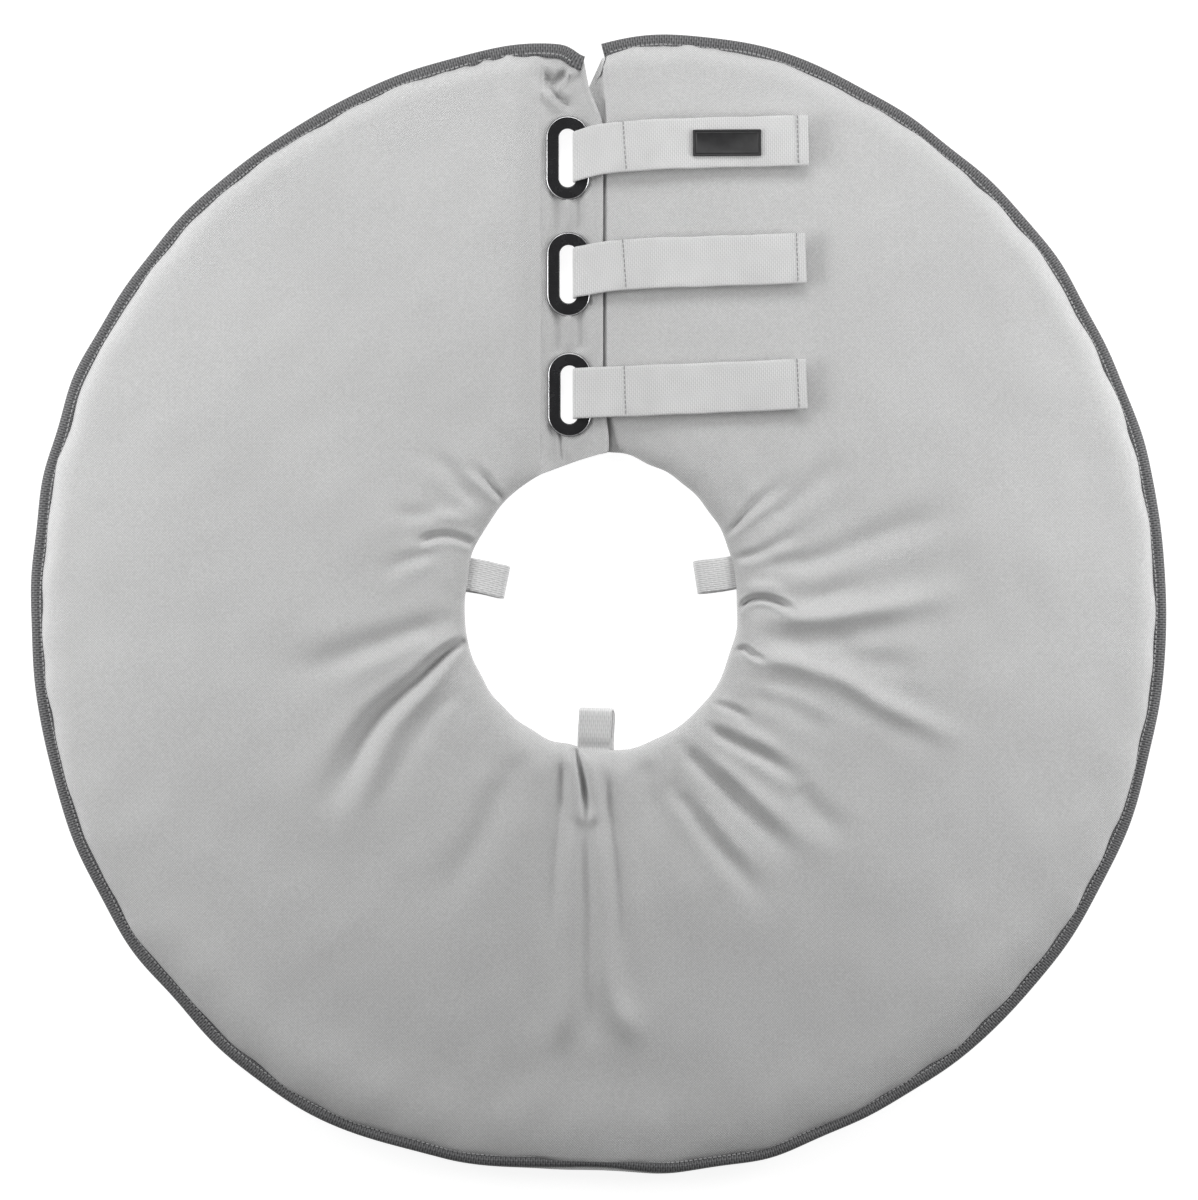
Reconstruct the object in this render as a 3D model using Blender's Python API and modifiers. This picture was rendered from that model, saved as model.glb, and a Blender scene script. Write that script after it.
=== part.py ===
"""A soft disc collar that keeps a pet from licking a wound: a padded ring with a slit, which three
straps close through oval eyelets. The disc lies flat, front up, with the slit towards +Y.
Metres, +Z up. The origin is the middle of the disc, on the surface that the collar lies on."""

import math

import bmesh
import bpy
from mathutils import Matrix, Vector

# The disc's outline. A wave is (how many round the disc, height, angle of its crest in degrees).
OUTER_RADIUS = 0.2868
OUTER_WAVES = ((1, 0.0018, -81), (2, 0.0018, 132), (3, 0.0017, -119), (4, 0.0019, -150), (5, 0.0011, 55))
NECK_RADIUS = 0.0710
NECK_WAVES = ((1, 0.0016, -18), (2, 0.0024, 174), (3, 0.0007, -162))

# The padding, and how far in from each edge it reaches its full thickness.
PAD_THICKNESS = 0.016
SEAM_HEIGHT = 0.008
RIM_ROLL = 0.016
NECK_ROLL = 0.022
LEFT_SLIT_ROLL = 0.014
RIGHT_SLIT_ROLL_TOP = 0.036
RIGHT_SLIT_ROLL_BACK = 0.014
RIGHT_SLIT_SEAM_HEIGHT = 0.0053
SEAM_CLIMB = 0.040

# Cloth, and the gap that any two pieces keep.
GAP = 0.0003
COVER_THICKNESS = 0.0006
PLY = GAP + COVER_THICKNESS
FOAM_INSET = 0.0012

# The slit. The right pad's edge runs from the neck to the rim at a slight slant, under the flap.
LEFT_PAD_EDGE_X = -0.0280
RIGHT_PAD_EDGE_AT_NECK_X = -0.0044
RIGHT_PAD_EDGE_AT_RIM_X = 0.0010
BETWEEN_PADS_X = -0.0060
NECK_Y = 0.0750

# The rim's binding is a U of tape over the covers' flat flange.
FLANGE = 0.0058
BINDING_WIDTH = 0.0055
BINDING_HALF_HEIGHT = 0.0020
BINDING_THICKNESS = 0.0007
BINDING_LEFT_END_X = -0.0070

# The line across the neck where the disc folds.
FOLD_Y = -0.0220
FOLD_NOTCH_DEGREES = 47.0

# The closure flap, its eyelets and the straps.
FLAP_THICKNESS = 0.0014
FLAP_HEIGHT = 0.0082
FLAP_CREASE_X = -0.0040
FLAP_SLOPE = 0.33
FLAP_EDGE_X = 0.0032
FLAP_TIP = (0.0052, 0.0758)
SLOT_X = -0.0150
SLOT_WIDTH = 0.0086
SLOT_LENGTH = 0.0290
SLOT_ROUNDING_ROOM = 0.0008  # keeps the strap's edges off the slot's rounded ends
EYELET_BAND = 0.0065
EYELET_BARREL = 0.0006
STRAPS = {"top": (0.2224, 3.4), "middle": (0.1643, 2.7), "bottom": (0.1041, 1.9)}  # eyelet's y, tilt in degrees
STRAP_WIDTH = 0.0250
STRAP_THICKNESS = 0.0012
STRAP_TIP_X = 0.1035
TAPE_THICKNESS = 0.0009
TAPE_START_X = 0.0140
TAPE_END_X = 0.0990
LABEL_SIZE = (0.0340, 0.0130, 0.0013)
LABEL_X = 0.0637

# The loops in the neck that the pet's own collar goes through.
NECK_LOOPS = {"left": (167.4, -11.5), "right": (13.0, 188.8), "lower": (269.8, 87.0)}  # place, direction (degrees)
LOOP_WIDTH = 0.0160
LOOP_THICKNESS = 0.0011
LOOP_START = 0.0015
LOOP_STRAIGHT_END = 0.0158
LOOP_HALF_HEIGHT = 0.0032

COLOURS = {
    "shell_fabric": ((0.56, 0.56, 0.56), 0.85, 0.0),
    "foam": ((0.85, 0.84, 0.80), 0.95, 0.0),
    "binding": ((0.16, 0.16, 0.165), 0.8, 0.0),
    "webbing": ((0.64, 0.64, 0.64), 0.8, 0.0),
    "hook_and_loop": ((0.50, 0.50, 0.50), 0.95, 0.0),
    "eyelet": ((0.02, 0.02, 0.022), 0.15, 0.9),
    "label": ((0.03, 0.03, 0.03), 0.5, 0.0),
}


# ---- Materials and objects ----

def clear_scene():
    for obj in list(bpy.data.objects):
        bpy.data.objects.remove(obj)


def make_collection(name):
    collection = bpy.data.collections.new(name)
    bpy.context.scene.collection.children.link(collection)
    return collection


def make_material(name):
    colour, roughness, metallic = COLOURS[name]
    material = bpy.data.materials.new(name)
    material.use_nodes = True
    shader = material.node_tree.nodes["Principled BSDF"]
    shader.inputs["Base Color"].default_value = (*colour, 1.0)
    shader.inputs["Roughness"].default_value = roughness
    shader.inputs["Metallic"].default_value = metallic
    return material


def add_object(name, builder, material_name, collection=None):
    mesh = bpy.data.meshes.new(name)
    builder.to_mesh(mesh)
    builder.free()
    obj = bpy.data.objects.new(name, mesh)
    obj.data.materials.append(materials[material_name])
    (collection or collar).objects.link(obj)
    return obj


def surface(rows, towards):
    """An open sheet through rows of points, facing the way that towards points."""
    sheet = bmesh.new()
    verts = [[sheet.verts.new(point) for point in row] for row in rows]
    for row, after in zip(verts, verts[1:]):
        for k in range(len(row) - 1):
            sheet.faces.new((row[k], row[k + 1], after[k + 1], after[k]))
    sheet.normal_update()
    if sum((face.normal * face.calc_area() for face in sheet.faces), Vector()).dot(towards) < 0:
        bmesh.ops.reverse_faces(sheet, faces=sheet.faces[:])
    return sheet


def loft(sections, cyclic=False):
    """A closed solid through closed sections, with flat ends unless it is cyclic."""
    solid = bmesh.new()
    rings = [[solid.verts.new(point) for point in section] for section in sections]
    pairs = list(zip(rings, rings[1:])) + ([(rings[-1], rings[0])] if cyclic else [])
    for ring, after in pairs:
        for k in range(len(ring)):
            n = (k + 1) % len(ring)
            solid.faces.new((ring[k], ring[n], after[n], after[k]))
    if not cyclic:
        solid.faces.new(rings[0])
        solid.faces.new(rings[-1])
    bmesh.ops.recalc_face_normals(solid, faces=solid.faces[:])
    return solid


def solidify(obj, thickness, offset=-1.0):
    modifier = obj.modifiers.new("Thickness", "SOLIDIFY")
    modifier.thickness = thickness
    modifier.offset = offset
    return obj


def cut(obj, cutter):
    modifier = obj.modifiers.new("Cut", "BOOLEAN")
    modifier.operation = "DIFFERENCE"
    modifier.object = cutter
    return obj


def hide_cutter(obj):
    obj.hide_render = True
    obj.display_type = "WIRE"
    return obj


def ribbon(name, path, width, thickness, material_name, placement):
    """A flat strip of webbing along a path of (along, up) points, then placed by a matrix."""
    rows = [[Vector((along, side * width / 2, up)) for side in (-1, 1)] for along, up in path]
    obj = add_object(name, surface(rows, Vector((0, 0, 1))), material_name)
    obj.matrix_world = placement
    return solidify(obj, thickness, 0.0)


# ---- The disc's shape ----

def wavy_radius(mean, waves, angle):
    return mean + sum(size * math.cos(count * angle - math.radians(crest)) for count, size, crest in waves)


def outer_radius(angle):
    return wavy_radius(OUTER_RADIUS, OUTER_WAVES, angle)


def neck_radius(angle):
    return wavy_radius(NECK_RADIUS, NECK_WAVES, angle)


def polar(radius, angle):
    return Vector((radius * math.cos(angle), radius * math.sin(angle)))


def crossing(radius_at, inset, line, offset):
    """The angle where an edge of the disc, moved in by inset, meets the line x = offset above the neck
    (line "slit"), or y = offset to the left or right of it."""
    angle = {"slit": math.pi / 2, "left": math.pi, "right": 0.0}[line]
    for _ in range(20):
        share = offset / (radius_at(angle) + inset)
        angle = {
            "slit": math.acos(share),
            "left": math.pi - math.asin(share),
            "right": math.asin(share),
        }[line]
    return angle


def right_edge_x(y):
    share = (y - NECK_Y) / (OUTER_RADIUS - NECK_Y)
    return RIGHT_PAD_EDGE_AT_NECK_X + share * (RIGHT_PAD_EDGE_AT_RIM_X - RIGHT_PAD_EDGE_AT_NECK_X)


def clamped(value):
    return min(max(value, 0.0), 1.0)


def round_rise(distance, width):
    return math.sqrt(1.0 - (1.0 - clamped(distance / width)) ** 2)


def gentle_rise(distance, width):
    return math.sin(math.pi / 2 * clamped(distance / width))


def fill_at(x, y, front, inset=0.0):
    """How full the padding is at a point, from 0 at an edge to 1."""
    angle, radius = math.atan2(y, x), math.hypot(x, y)
    fill = round_rise(radius - neck_radius(angle) - inset, NECK_ROLL - inset)
    fill *= round_rise(outer_radius(angle) - FLANGE - radius - inset, RIM_ROLL - inset)
    if y < 0:
        return fill
    if x < BETWEEN_PADS_X:
        return fill * round_rise(LEFT_PAD_EDGE_X - x - inset, LEFT_SLIT_ROLL - inset)
    if front:
        return fill * gentle_rise(x - right_edge_x(y) - inset, RIGHT_SLIT_ROLL_TOP - inset)
    return fill * round_rise(x - right_edge_x(y) - inset, RIGHT_SLIT_ROLL_BACK - inset)


def seam_at(x, y):
    """Height of the seam between front and back. It is lower at the slit's right edge, under the flap."""
    if y < 0 or x < BETWEEN_PADS_X:
        return SEAM_HEIGHT
    climb = clamped((x - right_edge_x(y)) / SEAM_CLIMB)
    climb = climb * climb * (3 - 2 * climb)
    return RIGHT_SLIT_SEAM_HEIGHT + climb * (SEAM_HEIGHT - RIGHT_SLIT_SEAM_HEIGHT)


def front_height(x, y):
    base = seam_at(x, y) + PLY
    return base + (PAD_THICKNESS - base) * fill_at(x, y, True)


def back_height(x, y):
    return (seam_at(x, y) - PLY) * (1.0 - fill_at(x, y, False))


def foam_top(x, y):
    base = seam_at(x, y) + GAP
    return base + (PAD_THICKNESS - FOAM_INSET - base) * fill_at(x, y, True, FOAM_INSET)


def foam_bottom(x, y):
    base = seam_at(x, y) - GAP
    return base + (FOAM_INSET - base) * fill_at(x, y, False, FOAM_INSET)


def roll_distances(width, inset=0.0):
    """Distances from an edge, closer together where the padding curves most."""
    return [inset + (width - inset) * (1 - math.cos(math.radians(step))) for step in (0, 30, 60, 90)]


def even_steps(first, last, count):
    return [tuple(a + (b - a) * k / count for a, b in zip(first, last)) for k in range(1, count + 1)]


def rays(sector, inset, rim_inset):
    """Straight lines from the neck to the rim that divide a sector, as pairs of angles (at the neck, at the rim)."""
    def pair(line, at_neck, at_rim):
        return (crossing(neck_radius, inset, line, at_neck), crossing(outer_radius, -rim_inset, line, at_rim))

    fold_above = FOLD_Y + GAP
    fold_below = FOLD_Y - GAP
    if sector == "left":
        found = [pair("slit", *[LEFT_PAD_EDGE_X - d] * 2) for d in roll_distances(LEFT_SLIT_ROLL, inset)]
        return found + even_steps(found[-1], pair("left", fold_above, fold_above), 11)
    if sector == "right":
        found = [
            pair("slit", RIGHT_PAD_EDGE_AT_NECK_X + d, RIGHT_PAD_EDGE_AT_RIM_X + d)
            for d in roll_distances(RIGHT_SLIT_ROLL_TOP, inset)
        ]
        return found + even_steps(found[-1], pair("right", fold_above, fold_above), 11)
    first = pair("left", fold_below, fold_below)
    last = tuple(angle + 2 * math.pi for angle in pair("right", fold_below, fold_below))
    return [first] + even_steps(first, last, 21)


def points_on_ray(ray, from_neck, from_rim, inset, rim_inset):
    """Points of one ray at stated distances from the neck's edge and from the rim's."""
    start = polar(neck_radius(ray[0]) + inset, ray[0])
    end = polar(outer_radius(ray[1]) - rim_inset, ray[1])
    along = (end - start).normalized()
    near_neck = [start + along * (d - inset) for d in from_neck]
    near_rim = [end - along * (d - rim_inset) for d in reversed(from_rim)]
    return near_neck + [(near_neck[-1] + near_rim[0]) / 2] + near_rim


# ---- Covers, foam and binding ----

def make_cover(sector, side):
    height = front_height if side == "front" else back_height
    rim_inset = 2 * BINDING_THICKNESS
    from_rim = [rim_inset] + [FLANGE + d for d in roll_distances(RIM_ROLL)]
    rows = [
        [Vector((p.x, p.y, height(p.x, p.y))) for p in
         points_on_ray(ray, roll_distances(NECK_ROLL), from_rim, 0.0, rim_inset)]
        for ray in rays(sector, 0.0, rim_inset)
    ]
    outward = Vector((0, 0, 1 if side == "front" else -1))
    cover = add_object(f"{side}_cover_{sector}", surface(rows, outward), "shell_fabric")
    solidify(cover, COVER_THICKNESS)
    if side == "front":
        cut(cover, fold_notch)


def make_foam(sector):
    rim_inset = FLANGE + FOAM_INSET
    sections = []
    for ray in rays(sector, FOAM_INSET, rim_inset):
        line = points_on_ray(
            ray,
            roll_distances(NECK_ROLL, FOAM_INSET),
            [FLANGE + d for d in roll_distances(RIM_ROLL, FOAM_INSET)],
            FOAM_INSET,
            rim_inset,
        )
        top = [Vector((p.x, p.y, foam_top(p.x, p.y))) for p in line]
        bottom = [Vector((p.x, p.y, foam_bottom(p.x, p.y))) for p in reversed(line)]
        sections.append(top + bottom)
    cut(add_object(f"foam_{sector}", loft(sections), "foam"), fold_notch)


def make_binding(sector):
    """A U of tape round one sector's stretch of the rim, open towards the padding."""
    angles = [ray[1] for ray in rays(sector, 0.0, 0.0)]
    if sector == "left":
        flap_steps = even_steps((crossing(outer_radius, 0.0, "slit", BINDING_LEFT_END_X),), (angles[0],), 3)
        angles = [crossing(outer_radius, 0.0, "slit", BINDING_LEFT_END_X)] + [a for a, in flap_steps] + angles[1:]
    section = (
        (BINDING_WIDTH, BINDING_HALF_HEIGHT),
        (BINDING_THICKNESS, BINDING_HALF_HEIGHT),
        (0.0, 0.0),
        (BINDING_THICKNESS, -BINDING_HALF_HEIGHT),
        (BINDING_WIDTH, -BINDING_HALF_HEIGHT),
    )
    rows = []
    for angle in angles:
        edge = polar(outer_radius(angle), angle)
        row = [polar(outer_radius(angle) - depth, angle).to_3d() for depth, _ in section]
        for point, (_, up) in zip(row, section):
            point.z = seam_at(edge.x, edge.y) + up
        rows.append(row)
    middle = (angles[0] + angles[-1]) / 2
    tape = surface(rows, Vector((math.cos(middle), math.sin(middle), 0)))
    cut(solidify(add_object(f"edge_binding_{sector}", tape, "binding"), BINDING_THICKNESS), fold_notch)


def make_fold_notch():
    """The wedge of padding that is left out on the front, so that the lower part can fold up."""
    reach = OUTER_RADIUS + 0.02
    top = PAD_THICKNESS + 0.004
    half = (top - SEAM_HEIGHT) * math.tan(math.radians(FOLD_NOTCH_DEGREES))
    sections = [
        [Vector((x, FOLD_Y, SEAM_HEIGHT - GAP)), Vector((x, FOLD_Y + half, top)), Vector((x, FOLD_Y - half, top))]
        for x in (-reach, reach)
    ]
    return hide_cutter(add_object("fold_notch", loft(sections), "foam", cutters))


# ---- The closure flap and its eyelets ----

def flap_height(x):
    return FLAP_HEIGHT + FLAP_SLOPE * max(0.0, x - FLAP_CREASE_X)


def oval(offset, y):
    """Points and outward directions round an eyelet's slot, offset outwards from its wall."""
    radius, straight = SLOT_WIDTH / 2, (SLOT_LENGTH - SLOT_WIDTH) / 2
    found = []
    for end in (1, -1):
        for step in range(9):
            angle = math.pi * step / 8 + (0 if end > 0 else math.pi)
            found.append(Vector((SLOT_X, y + end * straight)) + polar(radius + offset, angle))
    return found


def sweep_oval(name, section, y, material_name, collection=None):
    """A ring with the given section of (offset from the slot's wall, height) all the way round a slot."""
    rounds = [[point.to_3d() + Vector((0, 0, up)) for point in oval(offset, y)] for offset, up in section]
    sections = [list(points) for points in zip(*rounds)]
    return add_object(name, loft(sections, cyclic=True), material_name, collection)


def make_flap():
    left_x = LEFT_PAD_EDGE_X + GAP
    rim = OUTER_RADIUS - 2 * BINDING_THICKNESS
    left_bottom = math.sqrt(neck_radius(crossing(neck_radius, 0.0, "slit", left_x)) ** 2 - left_x ** 2)
    slope = (FLAP_TIP[1] - left_bottom) / (FLAP_TIP[0] - left_x)
    right_edge = (  # (x, y) up the free edge, from the tip at the neck to the rim
        FLAP_TIP,
        (0.0062, 0.0820),
        (FLAP_EDGE_X, 0.1120),
        (FLAP_EDGE_X, 0.2390),
        (BINDING_LEFT_END_X, 0.2660),
        (BINDING_LEFT_END_X, rim),
    )
    rows = []
    for corner_x, corner_y in right_edge:
        row = []
        for x in (left_x, min(FLAP_CREASE_X, corner_x - 0.0005), corner_x):
            y = corner_y
            if corner_y == rim:
                y = math.sqrt((outer_radius(math.atan2(rim, x)) - 2 * BINDING_THICKNESS) ** 2 - x ** 2)
            elif corner_y == FLAP_TIP[1]:
                y = left_bottom + slope * (x - left_x)
            row.append(Vector((x, y, flap_height(x))))
        rows.append(row)
    flap = add_object("closure_flap", surface(rows, Vector((0, 0, 1))), "shell_fabric")
    solidify(flap, FLAP_THICKNESS, 0.0)
    for place, (y, _) in STRAPS.items():
        ring = oval(EYELET_BARREL + GAP, y)
        sides = [[point.to_3d() + Vector((0, 0, up)) for point in ring] for up in (0.0, PAD_THICKNESS)]
        cut(flap, hide_cutter(add_object(f"slot_cutter_{place}", loft(sides), "foam", cutters)))


def make_eyelet(place, y):
    flap_top = FLAP_HEIGHT + FLAP_THICKNESS / 2
    flap_bottom = FLAP_HEIGHT - FLAP_THICKNESS / 2
    under = flap_top + GAP
    top = under + 0.0011
    barrel_end = flap_bottom - GAP - 0.0009
    band = EYELET_BAND
    grommet = (
        (0.0, barrel_end),
        (EYELET_BARREL, barrel_end),
        (EYELET_BARREL, under),
        (band - 0.0003, under),
        (band, under + 0.0004),
        (band - 0.0008, top),
        (0.0010, top),
        (0.0, top - 0.0005),
    )
    sweep_oval(f"eyelet_{place}", grommet, y, "eyelet")
    washer = (
        (EYELET_BARREL + GAP, flap_bottom - GAP),
        (EYELET_BARREL + GAP, barrel_end),
        (band - 0.0007, barrel_end),
        (band, barrel_end + 0.0005),
        (band, flap_bottom - GAP),
    )
    sweep_oval(f"eyelet_washer_{place}", washer, y, "eyelet")


# ---- Straps ----

EYELET_TOP = FLAP_HEIGHT + FLAP_THICKNESS / 2 + GAP + 0.0011
KNEE_X = SLOT_X + SLOT_WIDTH / 2 - SLOT_ROUNDING_ROOM - GAP - STRAP_THICKNESS / 2
KNEE_HEIGHT = EYELET_TOP + GAP + STRAP_THICKNESS / 2
TONGUE_START = 0.0012
TONGUE_CLIMB_START_X = -0.0080
TONGUE_CLIMB = 0.0340
TONGUE_FULL_HEIGHT = PAD_THICKNESS + 3 * GAP + 2 * TAPE_THICKNESS + STRAP_THICKNESS / 2 + 0.0001


def tongue_height(x):
    share = clamped((x - TONGUE_CLIMB_START_X) / TONGUE_CLIMB)
    return KNEE_HEIGHT + (TONGUE_FULL_HEIGHT - KNEE_HEIGHT) * share * share * (3 - 2 * share)


def along_tongue(start, end, steps, drop=0.0):
    """(distance from the knee, height) points under or on the tongue's middle line."""
    found = []
    for k in range(steps + 1):
        x = start + (end - start) * k / steps
        found.append((x - KNEE_X, tongue_height(x) - drop))
    return found


def make_strap(place, y, tilt):
    knee = Matrix.Translation((KNEE_X, y, 0))
    tilted = knee @ Matrix.Rotation(math.radians(tilt), 4, "Z")
    lower = RIGHT_SLIT_SEAM_HEIGHT
    anchor = (
        (right_edge_x(y) - GAP - KNEE_X, lower),
        (0.0012, lower),
        (0.0, lower + 0.0012),
        (0.0, KNEE_HEIGHT - 0.0008),
    )
    ribbon(f"strap_anchor_{place}", anchor, STRAP_WIDTH, STRAP_THICKNESS, "webbing", knee)

    tongue = [(TONGUE_START, KNEE_HEIGHT)] + along_tongue(TONGUE_CLIMB_START_X, 0.026, 8)
    tongue += [(STRAP_TIP_X - KNEE_X, TONGUE_FULL_HEIGHT)]
    ribbon(f"strap_tongue_{place}", tongue, STRAP_WIDTH, STRAP_THICKNESS, "webbing", tilted)

    drop = (STRAP_THICKNESS + TAPE_THICKNESS) / 2 + GAP
    hook = along_tongue(TAPE_START_X, 0.026, 3, drop) + [(TAPE_END_X - KNEE_X, TONGUE_FULL_HEIGHT - drop)]
    ribbon(f"hook_tape_{place}", hook, STRAP_WIDTH - 0.0010, TAPE_THICKNESS, "hook_and_loop", tilted)

    over_pad = GAP + TAPE_THICKNESS / 2
    loop = []
    for x in (TAPE_START_X, 0.018, 0.022, 0.027, 0.033, TAPE_END_X):
        highest = max(front_height(x, y + side * STRAP_WIDTH / 2) for side in (-1, 0, 1))
        loop.append((x - KNEE_X, highest + over_pad))
    ribbon(f"loop_tape_{place}", loop, STRAP_WIDTH - 0.0010, TAPE_THICKNESS, "hook_and_loop", tilted)


def make_label(y, tilt):
    bpy.ops.mesh.primitive_cube_add(size=1.0)
    label = bpy.context.object
    label.name = "label_patch"
    label.data.transform(Matrix.Diagonal((*LABEL_SIZE, 1.0)))
    height = TONGUE_FULL_HEIGHT + STRAP_THICKNESS / 2 + GAP + LABEL_SIZE[2] / 2
    label.matrix_world = (
        Matrix.Translation((KNEE_X, y, 0))
        @ Matrix.Rotation(math.radians(tilt), 4, "Z")
        @ Matrix.Translation((LABEL_X - KNEE_X, 0.0004, height))
    )
    bevel = label.modifiers.new("Rounded edges", "BEVEL")
    bevel.width = 0.0003
    bevel.segments = 2
    label.data.materials.append(materials["label"])
    for home in list(label.users_collection):
        home.objects.unlink(label)
    collar.objects.link(label)


# ---- Neck loops ----

def make_neck_loop(place, around, direction):
    """A folded ribbon, both ends at the neck's seam. It points into the neck."""
    angle = math.radians(around)
    edge = polar(neck_radius(angle), angle)
    base = LOOP_THICKNESS / 2 + GAP / 2
    half = LOOP_HALF_HEIGHT
    upper = [(LOOP_START, base), (0.0020, base), (0.0038, half * 0.6), (0.0062, half), (LOOP_STRAIGHT_END, half)]
    tip = [
        (LOOP_STRAIGHT_END + half * math.sin(turn), half * math.cos(turn))
        for turn in (math.pi * k / 6 for k in range(1, 6))
    ]
    lower = [(along, -up) for along, up in reversed(upper)]
    placement = Matrix.Translation((edge.x, edge.y, SEAM_HEIGHT)) @ Matrix.Rotation(math.radians(direction), 4, "Z")
    ribbon(f"neck_loop_{place}", upper + tip + lower, LOOP_WIDTH, LOOP_THICKNESS, "webbing", placement)


clear_scene()
collar = make_collection("pet_disc_collar")
cutters = make_collection("cutters")
cutters.hide_render = True
materials = {name: make_material(name) for name in COLOURS}
fold_notch = make_fold_notch()
for sector_name in ("left", "right", "lower"):
    make_cover(sector_name, "front")
    make_cover(sector_name, "back")
    make_foam(sector_name)
    make_binding(sector_name)
make_flap()
for strap_name, (strap_y, strap_tilt) in STRAPS.items():
    make_eyelet(strap_name, strap_y)
    make_strap(strap_name, strap_y, strap_tilt)
make_label(*STRAPS["top"])
for loop_name, (loop_place, loop_direction) in NECK_LOOPS.items():
    make_neck_loop(loop_name, loop_place, loop_direction)
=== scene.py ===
"""Looks of the soft disc collar: one padded cloth disc with its closure flap, the ribbed binding
round its rim, three webbing straps through oval eyelets, and the loops in its neck. Metres, in the
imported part's frame. Lengths below are in millimetres, and meshes are scaled to metres."""

import math

import bmesh
import bpy
import numpy as np
from mathutils import Matrix, Vector


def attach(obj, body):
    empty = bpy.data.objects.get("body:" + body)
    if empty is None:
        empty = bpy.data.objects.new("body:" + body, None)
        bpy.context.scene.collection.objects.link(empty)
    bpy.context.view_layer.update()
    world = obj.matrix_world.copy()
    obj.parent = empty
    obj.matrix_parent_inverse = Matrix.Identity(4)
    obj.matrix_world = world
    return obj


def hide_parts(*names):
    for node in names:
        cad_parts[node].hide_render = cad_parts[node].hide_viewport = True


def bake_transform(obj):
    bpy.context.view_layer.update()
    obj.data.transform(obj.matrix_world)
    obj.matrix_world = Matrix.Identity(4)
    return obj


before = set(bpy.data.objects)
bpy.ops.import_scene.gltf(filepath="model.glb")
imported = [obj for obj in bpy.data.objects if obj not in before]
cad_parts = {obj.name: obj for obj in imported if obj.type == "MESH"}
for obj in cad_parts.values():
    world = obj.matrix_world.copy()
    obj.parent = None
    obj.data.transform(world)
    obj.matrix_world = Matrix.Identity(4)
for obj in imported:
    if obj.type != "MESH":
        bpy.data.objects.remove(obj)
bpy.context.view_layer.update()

MM = 0.001
rng = np.random.default_rng(11)

# ---- sizes, in millimetres

# The rim and the neck's edge: mean radius, and waves as (count, size, degrees of a crest).
OUTER_RADIUS = 286.8
OUTER_WAVES = ((1, 1.8, -81), (2, 1.8, 132), (3, 1.7, -119), (4, 1.9, -150), (5, 1.1, 55))
NECK_RADIUS = 71.0
NECK_WAVES = ((1, 1.6, -18), (2, 2.4, 174), (3, 0.7, -162))
# Places where they stand out or draw in: (degrees, half-width in degrees, size).
RIM_BUMPS = (
    (-138, 5, -2.3), (-118, 7, 2.7), (-91.5, 7, -3.6), (-74, 8, 2.4), (-28, 6, 0.9), (42, 4, 1.2),
    (73, 6, 1.2),
)
NECK_BUMPS = ((180, 14, -1.2), (-180, 14, -1.2), (109, 10, -1.1))

PAD_TOP = 16.0
SEAM = 8.0  # height of the middle between front and back
RIGHT_SEAM = 5.3  # the same at the slit's right edge, which lies under the flap
CLOTH_HALF = 0.6  # front and back stay this far from that middle
CLOTH_GAP = 1.2  # the least distance between front and back
RIM_INSET = 0.9  # the cloth ends this far inside the binding's edge
RIGHT_EDGE_X = -4.9
LEFT_PAD_X = -28.0
SLIT_X = -6.5  # between the cloth left and right of the slit
FLAP_HEIGHT = 8.2
FLAP_ABOVE, FLAP_BELOW = 0.75, 0.7
FLAP_EDGE_X = 2.4
FLAP_TIP_Y = 75.8
# Painted shade on the flap: its cloth colour is darkened by this share.
FLAP_PAINTED_SHADE = 0.13  # how much darker the flap's cloth looks
FLANGE = 6.5  # the padding ends this far inside the rim
BINDING_LEFT_X = -6.8
BINDING_RIGHT_X = 1.3
# The flap's free edge: its x at a few heights, from the neck to where the rim's binding starts.
FLAP_EDGE_Y = (76.0, 83.0, 95.0, 110.0, 238.5, 250.5, 257.5, 268.5)
FLAP_EDGE_AT = (5.1, 5.2, 3.7, 2.5, 2.4, -1.8, -4.8, -6.8)
# Its top edge beyond there: the height at a few x.
FLAP_TOP_X = (-6.8, -4.8, -1.8, 1.0, 2.4)
FLAP_TOP_Y = (268.5, 257.5, 250.5, 243.5, 238.5)

SLOT_HALF_WIDTH = 4.3
SLOT_HALF_STRAIGHT = 10.2
EYELETS = {"top": (-15.4, 222.4), "middle": (-15.0, 164.3), "bottom": (-14.5, 104.1)}
KNEE_X, KNEE_Z = -12.35, 11.2  # where a strap turns over its eyelet's bar

STRAP_LINES = {
    "top": [(-12.4, 223.2), (2, 226.4), (30, 228.4), (65, 229.5), (104.6, 230.4)],
    "middle": [(-12.4, 165.4), (13, 168.6), (58, 170.3), (103.3, 171.7)],
    "bottom": [(-12.4, 104.9), (13, 105.5), (58, 107.2), (103.7, 109.1)],
}
STRAP_LIFT = {"top": 1.6, "middle": 0.7, "bottom": 0.3}
STRAP_WIDTH = 25.2
STRAP_THICKNESS = 1.2
STRAP_SEAMS = (13.2, 99.2)
STRAP_HEM = 6.5
HOOK_TAPE = (21.5, 2.1)  # width and thickness
LOOP_TAPE = (24.0, 0.9)
LABEL_X = 64.0
STITCH_PITCH, STITCH_GAP = 2.4, 0.6
BINDING_THREAD, STRAP_THREAD = 0.42, 0.26  # radius

# Each loop in the neck: (its place round the neck and the way it points, in degrees, the body it
# is sewn to, half its thickness, its length, how far its lower layer slips sideways).
NECK_LOOPS = {
    "left": (167.4, -11.5, "upper_panel", 2.3, 19.4, -0.8),
    "right": (13.0, 188.8, "upper_panel", 2.3, 19.4, 0.7),
    "lower": (268.2, 88.3, "lower_panel", 3.0, 21.2, -1.9),
}
LOOP_WIDTH = 16.4
LOOP_THICKNESS = 1.05


# ---- small helpers

def smooth(s):
    """Eases from 0 to 1."""
    s = np.clip(s, 0, 1)
    return s * s * (3 - 2 * s)


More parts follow.
